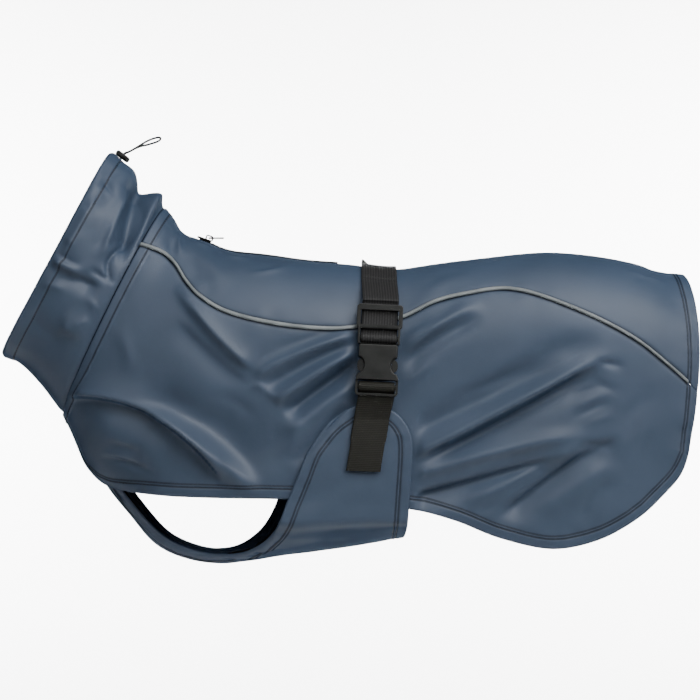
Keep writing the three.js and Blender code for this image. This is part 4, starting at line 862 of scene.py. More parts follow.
        held = bell(seam, 2.4)
        along = self.seam_pucker.at(seam_run) * bell(seam - 5, 6)
        depth = depth - 0.55 * held + 0.22 * along
        # These distances place the painted shade of the cloth's stitch lines, neck seam and the strip beside the
        # piping; under the hem there is none beside the piping.
        return depth, {"edge_mm": edge, "neck_mm": neck, "seam_mm": np.where(edge < self.hem_second, 50, seam)}

    def point(self, u: Array, share: Array, out: Array | float = 0.0, fine: bool = True) -> Array:
        """Points of the outer face with its folds.

        Args:
            u: Places counted in rows.
            share: Signed shares, as flat arrays.
            out: How far out from the face.
            fine: Whether the small relief is in it.

        Returns:
            Points in millimetres.
        """
        return self.measured(u, share, out, fine)[0]

    def measured(
        self, u: Array, share: Array, out: Array | float = 0.0, fine: bool = True
    ) -> tuple[Array, dict[str, Array]]:
        """Points of the outer face, with their distances from edges and seams.

        Args:
            u: Places counted in rows, flat.
            share: Signed shares, flat.
            out: How far out from the face.
            fine: Whether the small relief is in it.

        Returns:
            The points and the named distances.
        """
        u, share = (np.ascontiguousarray(a, float) for a in np.broadcast_arrays(u, share))
        base = self.base(u, share)
        normal = normals(self.base, u, share)
        depth = np.zeros(len(u))
        marks: dict[str, Array] = {}
        for side in Side:
            mine = (share < 0) == (side is Side.NEAR)
            if not mine.any():
                continue
            depth[mine] = self.main_depth(base[mine, 0], base[mine, 2], side)
            if fine:
                small, found = self.relief(base[mine], side)
                depth[mine] += small
                for name, values in found.items():
                    marks.setdefault(name, np.zeros(len(u)))[mine] = values
        return base + normal * (depth + out)[:, None], marks

    def place_at(self, x: Array, length: Array, side: Side) -> tuple[Array, Array]:
        """The places on a side that lie at x, given lengths down from the middle of the back.

        Args:
            x: Places along the coat.
            length: Running lengths from the middle of the back.
            side: The side.

        Returns:
            Places counted in rows, and signed shares.
        """
        x, length = np.broadcast_arrays(np.asarray(x, float), np.asarray(length, float))
        low, high = np.zeros(x.shape), np.full(x.shape, float(self.last))
        sign = np.full(x.shape, float(side.value))
        for _ in range(22):
            middle = (low + high) / 2
            here = self.base(middle, sign * length / self.loft.length(middle, sign))[..., 0]
            low, high = np.where(here < x, middle, low), np.where(here < x, high, middle)
        return low, sign * length / self.loft.length(low, sign)

    def back_frame(self, x: float) -> Matrix:
        """The frame of the middle of the back at x: x along it, and z out from it.

        Args:
            x: The place along the coat.

        Returns:
            The frame, in millimetres.
        """
        low, high = 0.0, float(self.last)
        for _ in range(30):
            middle = (low + high) / 2
            if self.point(np.array([middle]), np.array([1e-6]), fine=False)[0, 0] < x:
                low = middle
            else:
                high = middle
        here = self.point(np.array([low - 0.05, low, low + 0.05]), np.full(3, 1e-6), fine=False)
        return frame_along(here[1], here[2] - here[0])


def frame_along(origin: Array, along: Array) -> Matrix:
    """A frame with x in a direction of the middle plane, and z out from it.

    Args:
        origin: Its origin.
        along: The direction of x.

    Returns:
        The frame, in millimetres.
    """
    x = Vector((along[0], 0, along[2])).normalized()
    y = Vector((0, 1, 0))
    z = x.cross(y)
    made = Matrix((x, y, z)).transposed().to_4x4()
    made.translation = Vector((origin[0], 0, origin[2]))
    return made


class CollarForm:
    """The form of the collar, with its folds and casing."""

    casing: float = 9.8

    def __init__(self) -> None:
        """Keep the rings and the ripples of the casing."""
        self.table = np.array(COLLAR_ROWS, float)
        self.last = len(COLLAR_ROWS) - 1
        self.gather = Ripple(31, 6.5)
        self.wide_gather = Ripple(32, 15.0)
        self.swell = {Side.NEAR: Swell(14, 0.3), Side.FAR: Swell(19, 0.3)}
        angles = np.linspace(0, 2 * math.pi, 400)
        self.opening = Line(self.base(np.full(400, float(self.last)), angles))
        self.seam = Line(self.base(np.zeros(400), angles))

    def base(self, place: Array, angle: Array) -> Array:
        """Points of the collar before its folds.

        Args:
            place: Places counted in rings.
            angle: Angles round the ring from its top, the near side first.

        Returns:
            Points in millimetres.
        """
        row = row_at(self.table, np.clip(place, 0, self.last))
        along = (1 - np.cos(angle)) / 2
        sin = np.sin(angle)
        half = -row[..., 4] * np.sign(sin) * np.abs(sin) ** (2 / ROUNDNESS)
        x = row[..., 0] + (row[..., 2] - row[..., 0]) * along + row[..., 5] * sin**2
        return np.stack((x, half, row[..., 1] + (row[..., 3] - row[..., 1]) * along), -1)

    def measured(
        self, place: Array, angle: Array, out: Array | float = 0.0, fine: bool = True
    ) -> tuple[Array, dict[str, Array]]:
        """Points of the collar's outer face, with their distances from its edges.

        Args:
            place: Places counted in rings, flat.
            angle: Angles round the rings, flat.
            out: How far out from the face.
            fine: Whether the small relief is in it.

        Returns:
            The points and the named distances.
        """
        base = self.base(place, angle)
        ring = self.base(place, angle + 0.02) - self.base(place, angle - 0.02)
        row = self.base(place + 0.02, angle) - self.base(place - 0.02, angle)
        normal = unit(np.cross(row, ring))
        calm = smoothstep(place, 0, 0.5) * smoothstep(self.last - place, 0, 0.6)
        near = np.sin(angle) > 0
        x, z = base[..., 0], base[..., 2]
        depth = np.where(
            near, fold_depth(COLLAR_FOLDS[Side.NEAR], x, z), fold_depth(COLLAR_FOLDS[Side.FAR], x, z)
        )
        depth = depth * calm
        marks: dict[str, Array] = {}
        if fine:
            edge, run = self.opening.nearest(base)
            seam, _ = self.seam.nearest(base)
            small = np.where(
                near,
                fold_depth(COLLAR_CREASES[Side.NEAR], x, z, 0.45, 0.6) + self.swell[Side.NEAR].at(x, z),
                fold_depth(COLLAR_CREASES[Side.FAR], x, z, 0.45, 0.6) + self.swell[Side.FAR].at(x, z),
            )
            depth = depth + small * calm
            ripple = self.gather.at(run) * 0.45 + self.wide_gather.at(run) * 0.8
            ripple = ripple * smoothstep(np.abs(base[:, 1]), 4, 14)
            depth = depth + ripple * bell(edge - 8, 9)
            depth = depth + 0.6 * (1 - smoothstep(edge, self.casing, self.casing + 1.6)) * smoothstep(edge, 0, 3)
            depth = depth - 0.6 * bell(edge - self.casing, 0.9)
            depth = depth - 1.0 * (1 - smoothstep(edge, 0, 1.8)) ** 2
            depth = depth - 0.9 * bell(seam, 2.6)
            # Through these marks the casing's stitch line and the root of the neck seam get painted shade in the
            # cloth's colour.
            line = np.where(edge < self.casing + 1, edge - self.casing + CoatForm.hem_stitch, 50)
            marks = {"edge_mm": line, "neck_mm": np.where(seam < 3, seam, 50), "seam_mm": np.full(len(edge), 50.0)}
        return base + normal * (depth + out)[..., None], marks

    def top_frame(self, x: float) -> Matrix:
        """The frame of the collar's top line at x: x towards the tail, and z out.

        Args:
            x: The place along the coat.

        Returns:
            The frame, in millimetres.
        """
        low, high = 0.0, float(self.last)
        for _ in range(30):
            middle = (low + high) / 2
            if self.measured(np.array([middle]), np.zeros(1), fine=False)[0][0, 0] > x:
                low = middle
            else:
                high = middle
        here = self.measured(np.array([low - 0.05, low, low + 0.05]), np.zeros(3), fine=False)[0]
        return frame_along(here[1], here[0] - here[2])


class BellyForm:
    """The form of the chest and belly panel, whose flaps lie over the sides."""

    hem_stitch: float = 7.0
    hem_second: float = 9.4

    def __init__(self, coat: CoatForm) -> None:
        """Measure the panel.

        Args:
            coat: The body that the flaps lie on.
        """
        self.coat = coat
        self.loft = Loft(BELLY_ROWS)
        self.last = self.loft.last
        self.pucker = Ripple(41, 5.5)
        self.tuck = Ripple(42, 12)
        self.crease = Ripple(43, 26)
        along = np.linspace(0, self.last, 360)
        edge = np.concatenate(
            (
                self.base(along, np.full(360, -1.0)),
                self.base(np.full(200, float(self.last)), np.linspace(-1, 1, 202)[1:-1]),
                self.base(along[::-1], np.full(360, 1.0)),
            )
        )
        self.edge = Line(edge)

    def base(self, u: Array, share: Array) -> Array:
        """Points of the panel before its creases.

        Args:
            u: Places counted in rows.
            share: Signed shares.

        Returns:
            Points in millimetres.
        """
        u, share = np.broadcast_arrays(np.clip(u, 0, self.last), np.clip(share, -1, 1))
        point = self.loft.point(u, share)
        over = smoothstep(point[..., 2], -192, -177) * smoothstep(u, 7.5, 9)
        for side in Side:
            mine = ((share < 0) == (side is Side.NEAR)) & (over > 0)
            if mine.any():
                spot = point[mine]
                laid = self.coat.over_side(spot[:, 0], spot[:, 2], side, np.full(len(spot), LAP))
                point[mine] = spot + (laid - spot) * over[mine][:, None]
        return point

    def measured(self, u: Array, share: Array, out: Array | float = 0.0) -> tuple[Array, dict[str, Array]]:
        """Points of the panel's outer face, with their distances from its edges.

        Args:
            u: Places counted in rows, flat.
            share: Signed shares, flat.
            out: How far out from the face.

        Returns:
            The points and the named distances.
        """
        base = self.base(u, share)
        normal = -normals(self.base, u, share)
        edge, run = self.edge.nearest(base)
        free = smoothstep(edge, 3, 14)
        x, z = base[:, 0], base[:, 2]
        strap = 1 - smoothstep(x, -70, -40)
        length = self.loft.length(u, share) * share
        lengthwise = np.sin(length / 1.15 + 1.4 * np.sin(x / 23)) * 0.4
        lengthwise += np.sin(length / 2.3 + 1.1 * np.sin(x / 31) + 2) * 0.75
        depth = lengthwise * strap * smoothstep(edge, 1, 7)
        depth = depth + self.crease.at(x + 0.6 * z + 400) * 0.5 * free * (1 - strap)
        flap = fold_depth(FLAP_CREASES, x, z) * free
        depth = depth + flap
        tuck = self.pucker.at(run) * bell(edge - self.hem_stitch, 4.5) * 0.2
        tuck = tuck + self.tuck.at(run) * bell(edge - self.hem_stitch - 3, 8) * 0.35
        depth = depth + tuck + 0.35 * (1 - smoothstep(edge, self.hem_second - 0.2, self.hem_second + 1.2))
        depth = depth - 0.5 * bell(edge - self.hem_stitch, 0.6) - 0.5 * bell(edge - self.hem_second, 0.7)
        depth = depth - 0.8 * (1 - smoothstep(edge, 0, 1.3)) ** 2
        marks = {"edge_mm": edge, "neck_mm": np.full(len(u), 50.0), "seam_mm": np.full(len(u), 50.0)}
        return base + normal * (depth + out)[:, None], marks


FLAP_CREASES = (
    Fold(-50, -196, 24, -150, 6, 7, 7, 0.8),
    Fold(-30, -200, 34, -176, 3, 6, 6, -0.7),
    Fold(-18, -160, 12, -112, -3, 6, 6, 0.6),
    Fold(-56, -206, -6, -190, 3, 4, 4, 0.7),
    Fold(20, -160, 40, -118, 2, 5, 5, -0.5),
)


def smooth(mesh: bpy.types.Mesh) -> None:
    """Shade every face of a mesh smooth."""
    mesh.polygons.foreach_set("use_smooth", np.ones(len(mesh.polygons), bool))


def lattice(name: str, columns: Array, rows: Array) -> tuple[bpy.types.Mesh, Array, Array]:
    """A grid mesh whose points carry a column value and a row value.

    Args:
        name: The mesh's name.
        columns: The values across.
        rows: The values along.

    Returns:
        The mesh, and the two values of each of its points.
    """
    bm = bmesh.new()
    bmesh.ops.create_grid(bm, x_segments=len(columns) - 1, y_segments=len(rows) - 1, size=0.5)
    mesh = bpy.data.meshes.new(name)
    bm.to_mesh(mesh)
    bm.free()
    flat = np.zeros(len(mesh.vertices) * 3, np.float32)
    mesh.vertices.foreach_get("co", flat)
    flat = flat.reshape(-1, 3)
    low, high = flat.min(0), flat.max(0)
    i = np.rint((flat[:, 0] - low[0]) / (high[0] - low[0]) * (len(columns) - 1)).astype(int)
    j = np.rint((flat[:, 1] - low[1]) / (high[1] - low[1]) * (len(rows) - 1)).astype(int)
    return mesh, np.asarray(columns, float)[i], np.asarray(rows, float)[j]


def shape(mesh: bpy.types.Mesh, points: Array, marks: dict[str, Array] | None = None) -> None:
    """Move a mesh's points to places in millimetres, and keep named distances on it.

    Args:
        mesh: The mesh.
        points: Its points' places.
        marks: Named values for its points.
    """
    mesh.vertices.foreach_set("co", (points * MM).astype(np.float32).ravel())
    for name, values in (marks or {}).items():
        layer = mesh.attributes.new(name, "FLOAT", "POINT")
        layer.data.foreach_set("value", np.asarray(values, np.float32))
    mesh.update()


def lay_weave(mesh: bpy.types.Mesh, across: Array, along: Array) -> None:
    """Give a mesh a UV map in millimetres, for a weave that follows it.

    Args:
        mesh: The mesh.
        across: Millimetres across, for each point.
        along: Millimetres along, for each point.
    """
    layer = mesh.uv_layers.new(name="weave")
    corner = np.zeros(len(mesh.loops), np.int32)
    mesh.loops.foreach_get("vertex_index", corner)
    layer.data.foreach_set("uv", np.stack((across[corner], along[corner]), -1).astype(np.float32).ravel())


def close_ring(mesh: bpy.types.Mesh, caps: bool) -> None:
    """Join a rolled-up grid along its seam.

    Args:
        mesh: The mesh, whose first and last points meet.
        caps: Whether its two open ends are closed too.
    """
    bm = bmesh.new()
    bm.from_mesh(mesh)
    bmesh.ops.remove_doubles(bm, verts=bm.verts[:], dist=1e-6)
    if caps:
        bmesh.ops.holes_fill(bm, edges=[e for e in bm.edges if e.is_boundary], sides=0)
    bmesh.ops.recalc_face_normals(bm, faces=bm.faces[:])
    bm.to_mesh(mesh)
    bm.free()


def add_piece(mesh: bpy.types.Mesh, materials: Sequence[bpy.types.Material]) -> bpy.types.Object:
    """Put a mesh in the scene with its materials.

    Args:
        mesh: The mesh.
        materials: Its materials, in order.

    Returns:
        The object.
    """
    smooth(mesh)
    for material in materials:
        mesh.materials.append(material)
    piece = bpy.data.objects.new(mesh.name, mesh)
    bpy.context.scene.collection.objects.link(piece)
    return piece


def thicken(piece: bpy.types.Object, thick: float, inner: int = 1) -> None:
    """Give a sheet its thickness inwards from its outer face.

    Args:
        piece: The sheet.
        thick: Its thickness in millimetres.
        inner: How many material slots further on the inner face's material is.
    """
    wall = piece.modifiers.new("thickness", "SOLIDIFY")
    wall.thickness = thick * MM
    wall.offset = -1
    wall.use_even_offset = False
    wall.material_offset = inner
    wall.material_offset_rim = 0


def declare(piece: bpy.types.Object, node: str) -> None:
    """Put a sheet on the coat's body, and hide the node that it stands for.

    Args:
        piece: The sheet.
        node: The node that it stands for.
    """
    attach(piece, "coat")
    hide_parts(node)


def tell(piece: bpy.types.Object) -> None:
    """Report a finished piece."""
    LOG.info("%s: %d faces", piece.name, len(piece.data.polygons) if piece.type == "MESH" else 0)


class Wire:
    """A node's output, which Python expressions join to maths nodes."""

    def __init__(self, tree: "Finish", socket: bpy.types.NodeSocket) -> None:
        """Keep the socket and the tree that it is in."""
        self.tree = tree
        self.socket = socket

    def maths(self, kind: str, *others: "Wire | float", clamp: bool = False) -> "Wire":
        """A maths node with this output as its first input."""
        return self.tree.maths(kind, self, *others, clamp=clamp)

    def __add__(self, other: "Wire | float") -> "Wire":
        """Add."""
        return self.maths("ADD", other)

    __radd__ = __add__

    def __sub__(self, other: "Wire | float") -> "Wire":
        """Subtract."""
        return self.maths("SUBTRACT", other)

    def __rsub__(self, other: float) -> "Wire":
        """Subtract this from a number."""
        return self.tree.maths("SUBTRACT", other, self)

    def __mul__(self, other: "Wire | float") -> "Wire":
        """Multiply."""
        return self.maths("MULTIPLY", other)

    __rmul__ = __mul__

    def __truediv__(self, other: "Wire | float") -> "Wire":
        """Divide."""
        return self.maths("DIVIDE", other)

    def __rtruediv__(self, other: float) -> "Wire":
        """Divide a number by this."""
        return self.tree.maths("DIVIDE", other, self)

    def __pow__(self, other: float) -> "Wire":
        """Raise to a power."""
        return self.maths("POWER", other)

    def sine(self) -> "Wire":
        """The sine."""
        return self.maths("SINE")

    def size(self) -> "Wire":
        """The size without its sign."""
        return self.maths("ABSOLUTE")

    def ease(self, low: float, high: float) -> "Wire":
        """From 0 to 1, softly, as this goes from low to high."""
        node = self.tree.node(
            "ShaderNodeMapRange",
            {"interpolation_type": "SMOOTHSTEP"},
            {"Value": self, "From Min": low, "From Max": high},
        )
        return self.tree.wire(node, "Result")


class Finish:
    """One material, with the methods that join its nodes."""

    def __init__(self, name: str) -> None:
        """Start an empty material.

        Args:
            name: Its name.
        """
        self.material = bpy.data.materials.new(name)
        self.material.use_nodes = True
        self.nodes = self.material.node_tree.nodes
        self.links = self.material.node_tree.links
        self.nodes.clear()

    def node(
        self, kind: str, settings: dict[str, object] | None = None, sockets: dict[str, object] | None = None
    ) -> bpy.types.Node:
        """Any node: its settings come first, then its sockets' values and links.

        Args:
            kind: The node's type.
            settings: The node's own settings.
            sockets: Values or Wires for its inputs, by name or number.

        Returns:
            The node.
        """
        made = self.nodes.new(kind)
        for key, value in (settings or {}).items():
            setattr(made, key, value)
        for key, value in (sockets or {}).items():
            socket = made.inputs[key]
            if isinstance(value, Wire):
                self.links.new(value.socket, socket)
            else:
                socket.default_value = value
        return made

    def wire(self, node: bpy.types.Node, output: str | int = 0) -> Wire:
        """One output of a node."""
        return Wire(self, node.outputs[output])

    def maths(self, kind: str, *values: Wire | float, clamp: bool = False) -> Wire:
        """A maths node.

        Args:
            kind: Its operation.
            values: Its inputs, in order.
            clamp: Whether its result is kept from 0 to 1.

        Returns:
            Its output.
        """
        sockets = {i: value for i, value in enumerate(values)}
        return self.wire(self.node("ShaderNodeMath", {"operation": kind, "use_clamp": clamp}, sockets))

    def place(self, stretch: tuple[float, float, float] = (1, 1, 1)) -> Wire:
        """Object coordinates, stretched."""
        spot = self.wire(self.node("ShaderNodeTexCoord"), "Object")
        return self.wire(
            self.node(
                "ShaderNodeVectorMath",
                {"operation": "MULTIPLY"},
                {0: spot, 1: stretch},
            )
        )

    def mark(self, name: str) -> Wire:
        """A distance kept on the piece's points."""
        return self.wire(self.node("ShaderNodeAttribute", {"attribute_name": name}), "Fac")

    def weave(self) -> tuple[Wire, Wire]:
        """Millimetres across and along, from the piece's own UV map."""
        spot = self.wire(self.node("ShaderNodeUVMap", {"uv_map": "weave"}))
        parts = self.node("ShaderNodeSeparateXYZ", None, {0: spot})
        return self.wire(parts, 0), self.wire(parts, 1)

    def noise(self, scale: float, spot: Wire, detail: float = 2.0, rough: float = 0.5) -> Wire:
        """Soft noise from 0 to 1.

        Args:
            scale: Its scale, for one metre.
            spot: Where it is read.
            detail: Its octaves.
            rough: How strong the finer ones are.

        Returns:
            Its value.
        """
        sockets = {"Vector": spot, "Scale": scale, "Detail": detail, "Roughness": rough}
        return self.wire(self.node("ShaderNodeTexNoise", None, sockets), "Fac")

    def mix(self, share: Wire, first: object, second: object) -> Wire:
        """Two colours mixed.

        Args:
            share: How much of the second.
            first: A colour or Wire.
            second: A colour or Wire.

        Returns:
            The mixed colour.
        """
        node = self.node("ShaderNodeMix", {"data_type": "RGBA"}, {0: share, 6: first, 7: second})
        return self.wire(node, 2)

    def bump(self, height: Wire, strength: float, distance: float, under: Wire | None = None) -> Wire:
        """A bump of a height in millimetres.

        Args:
            height: The height.
            strength: How much of it shows.
            distance: Metres for a height of 1.
            under: Another bump that it lies on.

        Returns:
            The changed normal.
        """
        sockets: dict[str, object] = {"Height": height, "Strength": strength, "Distance": distance}
        if under is not None:
            sockets["Normal"] = under
        return self.wire(self.node("ShaderNodeBump", None, sockets))

    def finish(
        self, colour: object, rough: object, normal: Wire | None, matt_rim: bool = False, **fixed: float
    ) -> bpy.types.Material:
        """Close the material with its shader.

        Args:
            colour: The base colour.
            rough: The roughness.
            normal: The bumped normal.
            matt_rim: Whether it loses its shine where it turns away.
            fixed: Constants for the shader's other sockets, with underscores for spaces.

        Returns:
            The material.
        """
        sockets: dict[str, object] = {"Base Color": colour, "Roughness": rough}
        if normal is not None:
            sockets["Normal"] = normal
        sockets.update({key.replace("_", " "): value for key, value in fixed.items()})
        shader = self.wire(self.node("ShaderNodeBsdfPrincipled", None, sockets))
        if matt_rim:
            sockets.update({"Roughness": 0.95, "Specular IOR Level": 0.02})
            matt = self.wire(self.node("ShaderNodeBsdfPrincipled", None, sockets))
            turned = self.wire(self.node("ShaderNodeLayerWeight", None, {"Blend": 0.5}), "Facing").ease(0.3, 0.68)
            shader = self.wire(self.node("ShaderNodeMixShader", None, {0: turned, 1: shader, 2: matt}))
        self.node("ShaderNodeOutputMaterial", None, {"Surface": shader})
        return self.material


def rgb(red: float, green: float, blue: float) -> tuple[float, float, float, float]:
    """A linear colour for a socket."""
    return (red, green, blue, 1.0)


@dataclass(frozen=True)
class CoatedCloth:
    """Slate-blue coated cloth with a soft satin shine, and painted shade along its stitch lines, neck seam and
    piped seams.
    """

    lit: tuple[float, float, float, float] = rgb(0.04, 0.059, 0.094)
    deep: tuple[float, float, float, float] = rgb(0.034, 0.051, 0.082)
    # Painted shade: the dark colour given to the stitch grooves, the root of the neck seam and the strip beside
    # the piping.
    seam: tuple[float, float, float, float] = rgb(0.007, 0.012, 0.022)
    roughness: float = 0.5

    def make(self) -> bpy.types.Material:
        """Make the material."""
        f = Finish("coated_cloth")
        spot = f.place()
        broad = f.noise(14, spot, 3)
        fine = f.noise(900, spot, 3, 0.6)
        grain = f.noise(2600, spot, 2)
        edge, neck, seam = f.mark("edge_mm"), f.mark("neck_mm"), f.mark("seam_mm")
        # Painted shade: the hem stitch lines, the neck band's stitch line, the root of the neck seam and the strip
        # beside the piping are darkened towards the seam colour.
        line = 1 - (edge - CoatForm.hem_stitch).size().ease(0.3, 1.05)
        second = 1 - (edge - CoatForm.hem_second).size().ease(0.3, 1.05)
        band = 1 - (neck - CoatForm.neck_stitch).size().ease(0.3, 1.05)
        painted_neck_shadow = 1 - neck.ease(0.2, 1.4)
        beside = 1 - seam.ease(1.2, 3.4)
        dark = (line * 0.9 + second * 0.8 + band * 0.85 + painted_neck_shadow * 0.35 + beside * 0.85).maths("MINIMUM", 1.0)
        tone = f.mix(broad.ease(0.35, 0.65), self.deep, self.lit)
        tone = f.mix((fine - 0.5).size() * 0.5, tone, self.deep)
        # The painted shade darkens the cloth's own tone here.
        colour = f.mix(dark * 0.95, tone, self.seam)
        rough = self.roughness + (broad - 0.5) * 0.12 + (fine - 0.5) * 0.1 + dark * 0.15
        low = f.bump(fine, 0.16, 0.00025)
        normal = f.bump(grain, 0.12, 0.00012, low)
        return f.finish(colour, rough, normal, True, Specular_IOR_Level=0.35)


@dataclass(frozen=True)
class Backing:
    """The cloth's black backing, with the turned hem in the outside's colour."""

    black: tuple[float, float, float, float] = rgb(0.004, 0.0045, 0.0055)
    worn: tuple[float, float, float, float] = rgb(0.009, 0.0095, 0.011)
    turned: tuple[float, float, float, float] = rgb(0.028, 0.046, 0.08)

    def make(self) -> bpy.types.Material:
        """Make the material."""
        f = Finish("black_backing")
        spot = f.place()
        cells = f.wire(
            f.node("ShaderNodeTexVoronoi", {"feature": "F1"}, {"Vector": spot, "Scale": 1400.0}), "Distance"
        )
        fuzz = f.noise(700, spot, 3)
        edge = f.mark("edge_mm")
        hem = 1 - edge.ease(7.8, 8.2)
        fabric = f.mix(cells, self.worn, self.black)
        colour = f.mix(hem, fabric, self.turned)
        rough = 0.86 - hem * 0.38 + (fuzz - 0.5) * 0.1
        normal = f.bump(cells, 0.35, 0.0003)
        return f.finish(colour, rough, normal, Specular_IOR_Level=0.25)


@dataclass(frozen=True)
class ReflectivePiping:
    """Grey reflective piping."""

    bright: tuple[float, float, float, float] = rgb(0.17, 0.19, 0.195)
    dull: tuple[float, float, float, float] = rgb(0.115, 0.13, 0.137)

    def make(self) -> bpy.types.Material:
        """Make the material."""
        f = Finish("reflective_piping")
        spot = f.place()
        beads = f.wire(
            f.node("ShaderNodeTexVoronoi", {"feature": "F1"}, {"Vector": spot, "Scale": 3200.0}), "Distance"
        )
        cloud = f.noise(60, spot, 3)
        colour = f.mix(cloud.ease(0.35, 0.7), self.dull, self.bright)
        rough = 0.36 + beads * 0.2
        return f.finish(colour, rough, f.bump(beads, 0.2, 0.00012), Specular_IOR_Level=0.4)


@dataclass(frozen=True)
class Webbing:
    """Woven tape, ribbed along or across, with painted shade in the grooves between its ribs."""

    name: str
    rib: float
    pick: float
    lengthwise: bool
    dark: tuple[float, float, float, float]
    pale: tuple[float, float, float, float]
    roughness: float = 0.62

    def make(self) -> bpy.types.Material:
        """Make the material."""
        f = Finish(self.name)
        across, along = f.weave()
        first, second = (across, along) if self.lengthwise else (along, across)
        turn = 2 * math.pi
        ribs = (first * (turn / self.rib)).sine() * 0.5 + 0.5
        shifted = first * (math.pi / self.rib)
        picks = (second * (turn / self.pick) + shifted.sine().maths("SIGN") * 1.5).sine() * 0.5 + 0.5
        lint = f.noise(1800, f.place(), 3)
        cloud = f.noise(45, f.place(), 2)
        height = ribs * 0.65 + picks * 0.35
        # Painted shade: the tape is darker where the ribs and picks are low, in their grooves, and paler on their
        # crests; the lint and cloud are the tape's own uneven tone.
        shade = (height * 0.75 + lint * 0.35).maths("MINIMUM", 1.0)
        colour = f.mix(shade * (cloud * 0.5 + 0.6), self.dark, self.pale)
        rough = self.roughness + (1 - height) * 0.2 + (lint - 0.5) * 0.12
        normal = f.bump(lint, 0.15, 0.0002, f.bump(height, 0.5, 0.0004))
        return f.finish(colour, rough, normal, Specular_IOR_Level=0.22)


@dataclass(frozen=True)
class MouldedPlastic:
    """Black moulded plastic with a fine spark-eroded grain."""

    name: str = "moulded_plastic"
    dark: tuple[float, float, float, float] = rgb(0.006, 0.0066, 0.0062)
    pale: tuple[float, float, float, float] = rgb(0.011, 0.012, 0.0112)
    roughness: float = 0.36
    grain: float = 0.1
    metallic: float = 0.0

    def make(self) -> bpy.types.Material:
        """Make the material."""
        f = Finish(self.name)
        spot = f.place()
        grain = f.noise(3400, spot, 2)
        cloud = f.noise(90, spot, 3)
        scuff = f.noise(420, f.place((1, 0.25, 1)), 4, 0.7)
        colour = f.mix(cloud.ease(0.3, 0.75), self.dark, self.pale)
        rough = self.roughness + (cloud - 0.5) * 0.14 + scuff.ease(0.58, 0.75) * 0.14
        return f.finish(
            colour, rough, f.bump(grain, self.grain, 0.00015), Metallic=self.metallic, Specular_IOR_Level=0.22
        )


@dataclass(frozen=True)
class BraidedCord:
    """Black braided elastic, with painted shade in the grooves of its braid."""

    dark: tuple[float, float, float, float] = rgb(0.003, 0.003, 0.0035)
    pale: tuple[float, float, float, float] = rgb(0.016, 0.016, 0.018)

    def make(self) -> bpy.types.Material:
        """Make the material."""
        f = Finish("braided_cord")
        across, along = f.weave()
        turn = 2 * math.pi
        one = (across * (turn / 1.25) + along * (turn / 1.3)).sine()
        two = (across * (turn / 1.25) - along * (turn / 1.3)).sine()
        height = one.maths("MAXIMUM", two) * 0.5 + 0.5
        lint = f.noise(2500, f.place(), 2)
        # Painted shade: the cord is darker in its braid's grooves and paler on the crests; the lint is its own
        # uneven tone.
        colour = f.mix(height * 0.8 + lint * 0.2, self.dark, self.pale)
        return f.finish(colour, 0.68 + (1 - height) * 0.15, f.bump(height, 0.8, 0.0003), Specular_IOR_Level=0.3)


@dataclass(frozen=True)
class SewingThread:
    """Dark navy sewing thread."""

    dark: tuple[float, float, float, float] = rgb(0.005, 0.009, 0.018)
    pale: tuple[float, float, float, float] = rgb(0.012, 0.02, 0.036)

    def make(self) -> bpy.types.Material:
        """Make the material."""
        f = Finish("sewing_thread")
        ply = f.noise(5200, f.place((1, 1, 0.4)), 2)
        colour = f.mix(ply, self.dark, self.pale)
        return f.finish(colour, 0.5 + ply * 0.2, f.bump(ply, 0.3, 0.0001), Specular_IOR_Level=0.3)


@dataclass(frozen=True)
class StudioPaper:
    """The pale floor and the sweep behind."""

    white: tuple[float, float, float, float] = rgb(0.93, 0.93, 0.93)
    shade: tuple[float, float, float, float] = rgb(0.9, 0.9, 0.9)

    def make(self) -> bpy.types.Material:
        """Make the material."""
        f = Finish("studio_paper")
        cloud = f.noise(6, f.place(), 3)
        return f.finish(f.mix(cloud, self.shade, self.white), 0.85 + (cloud - 0.5) * 0.1, None)


@dataclass
class Wardrobe:
    """Every finish, made once."""

    cloth: bpy.types.Material = field(default_factory=lambda: CoatedCloth().make())
    backing: bpy.types.Material = field(default_factory=lambda: Backing().make())
    piping: bpy.types.Material = field(default_factory=lambda: ReflectivePiping().make())
    elastic: bpy.types.Material = field(
        default_factory=lambda: Webbing(
            "elastic_webbing", 1.85, 0.9, True, rgb(0.005, 0.005, 0.005), rgb(0.026, 0.026, 0.027), 0.5
        ).make()
    )
    woven: bpy.types.Material = field(
        default_factory=lambda: Webbing(
            "sewn_webbing", 1.25, 1.1, False, rgb(0.004, 0.004, 0.003), rgb(0.018, 0.018, 0.014), 0.6
        ).make()
    )
    tape: bpy.types.Material = field(
        default_factory=lambda: Webbing(
            "zip_tape_weave", 0.9, 0.9, True, rgb(0.003, 0.003, 0.0035), rgb(0.012, 0.012, 0.013), 0.75
        ).make()
    )
    plastic: bpy.types.Material = field(default_factory=lambda: MouldedPlastic().make())
    coil: bpy.types.Material = field(
        default_factory=lambda: MouldedPlastic(
            "zip_coil", rgb(0.004, 0.004, 0.0045), rgb(0.01, 0.01, 0.011), 0.32, 0.06
        ).make()
    )
    enamel: bpy.types.Material = field(
        default_factory=lambda: MouldedPlastic(
            "black_enamel", rgb(0.003, 0.003, 0.0033), rgb(0.006, 0.006, 0.0065), 0.5, 0.05, 0.0
        ).make()
    )
    cord: bpy.types.Material = field(default_factory=lambda: BraidedCord().make())
    thread: bpy.types.Material = field(default_factory=lambda: SewingThread().make())
    paper: bpy.types.Material = field(default_factory=lambda: StudioPaper().make())


def spread(*parts: tuple[float, float, int]) -> Array:
    """Values from several even runs, joined without doubling their ends."""
    runs = [np.linspace(low, high, count + 1) for low, high, count in parts]
    return np.concatenate([runs[0]] + [run[1:] for run in runs[1:]])


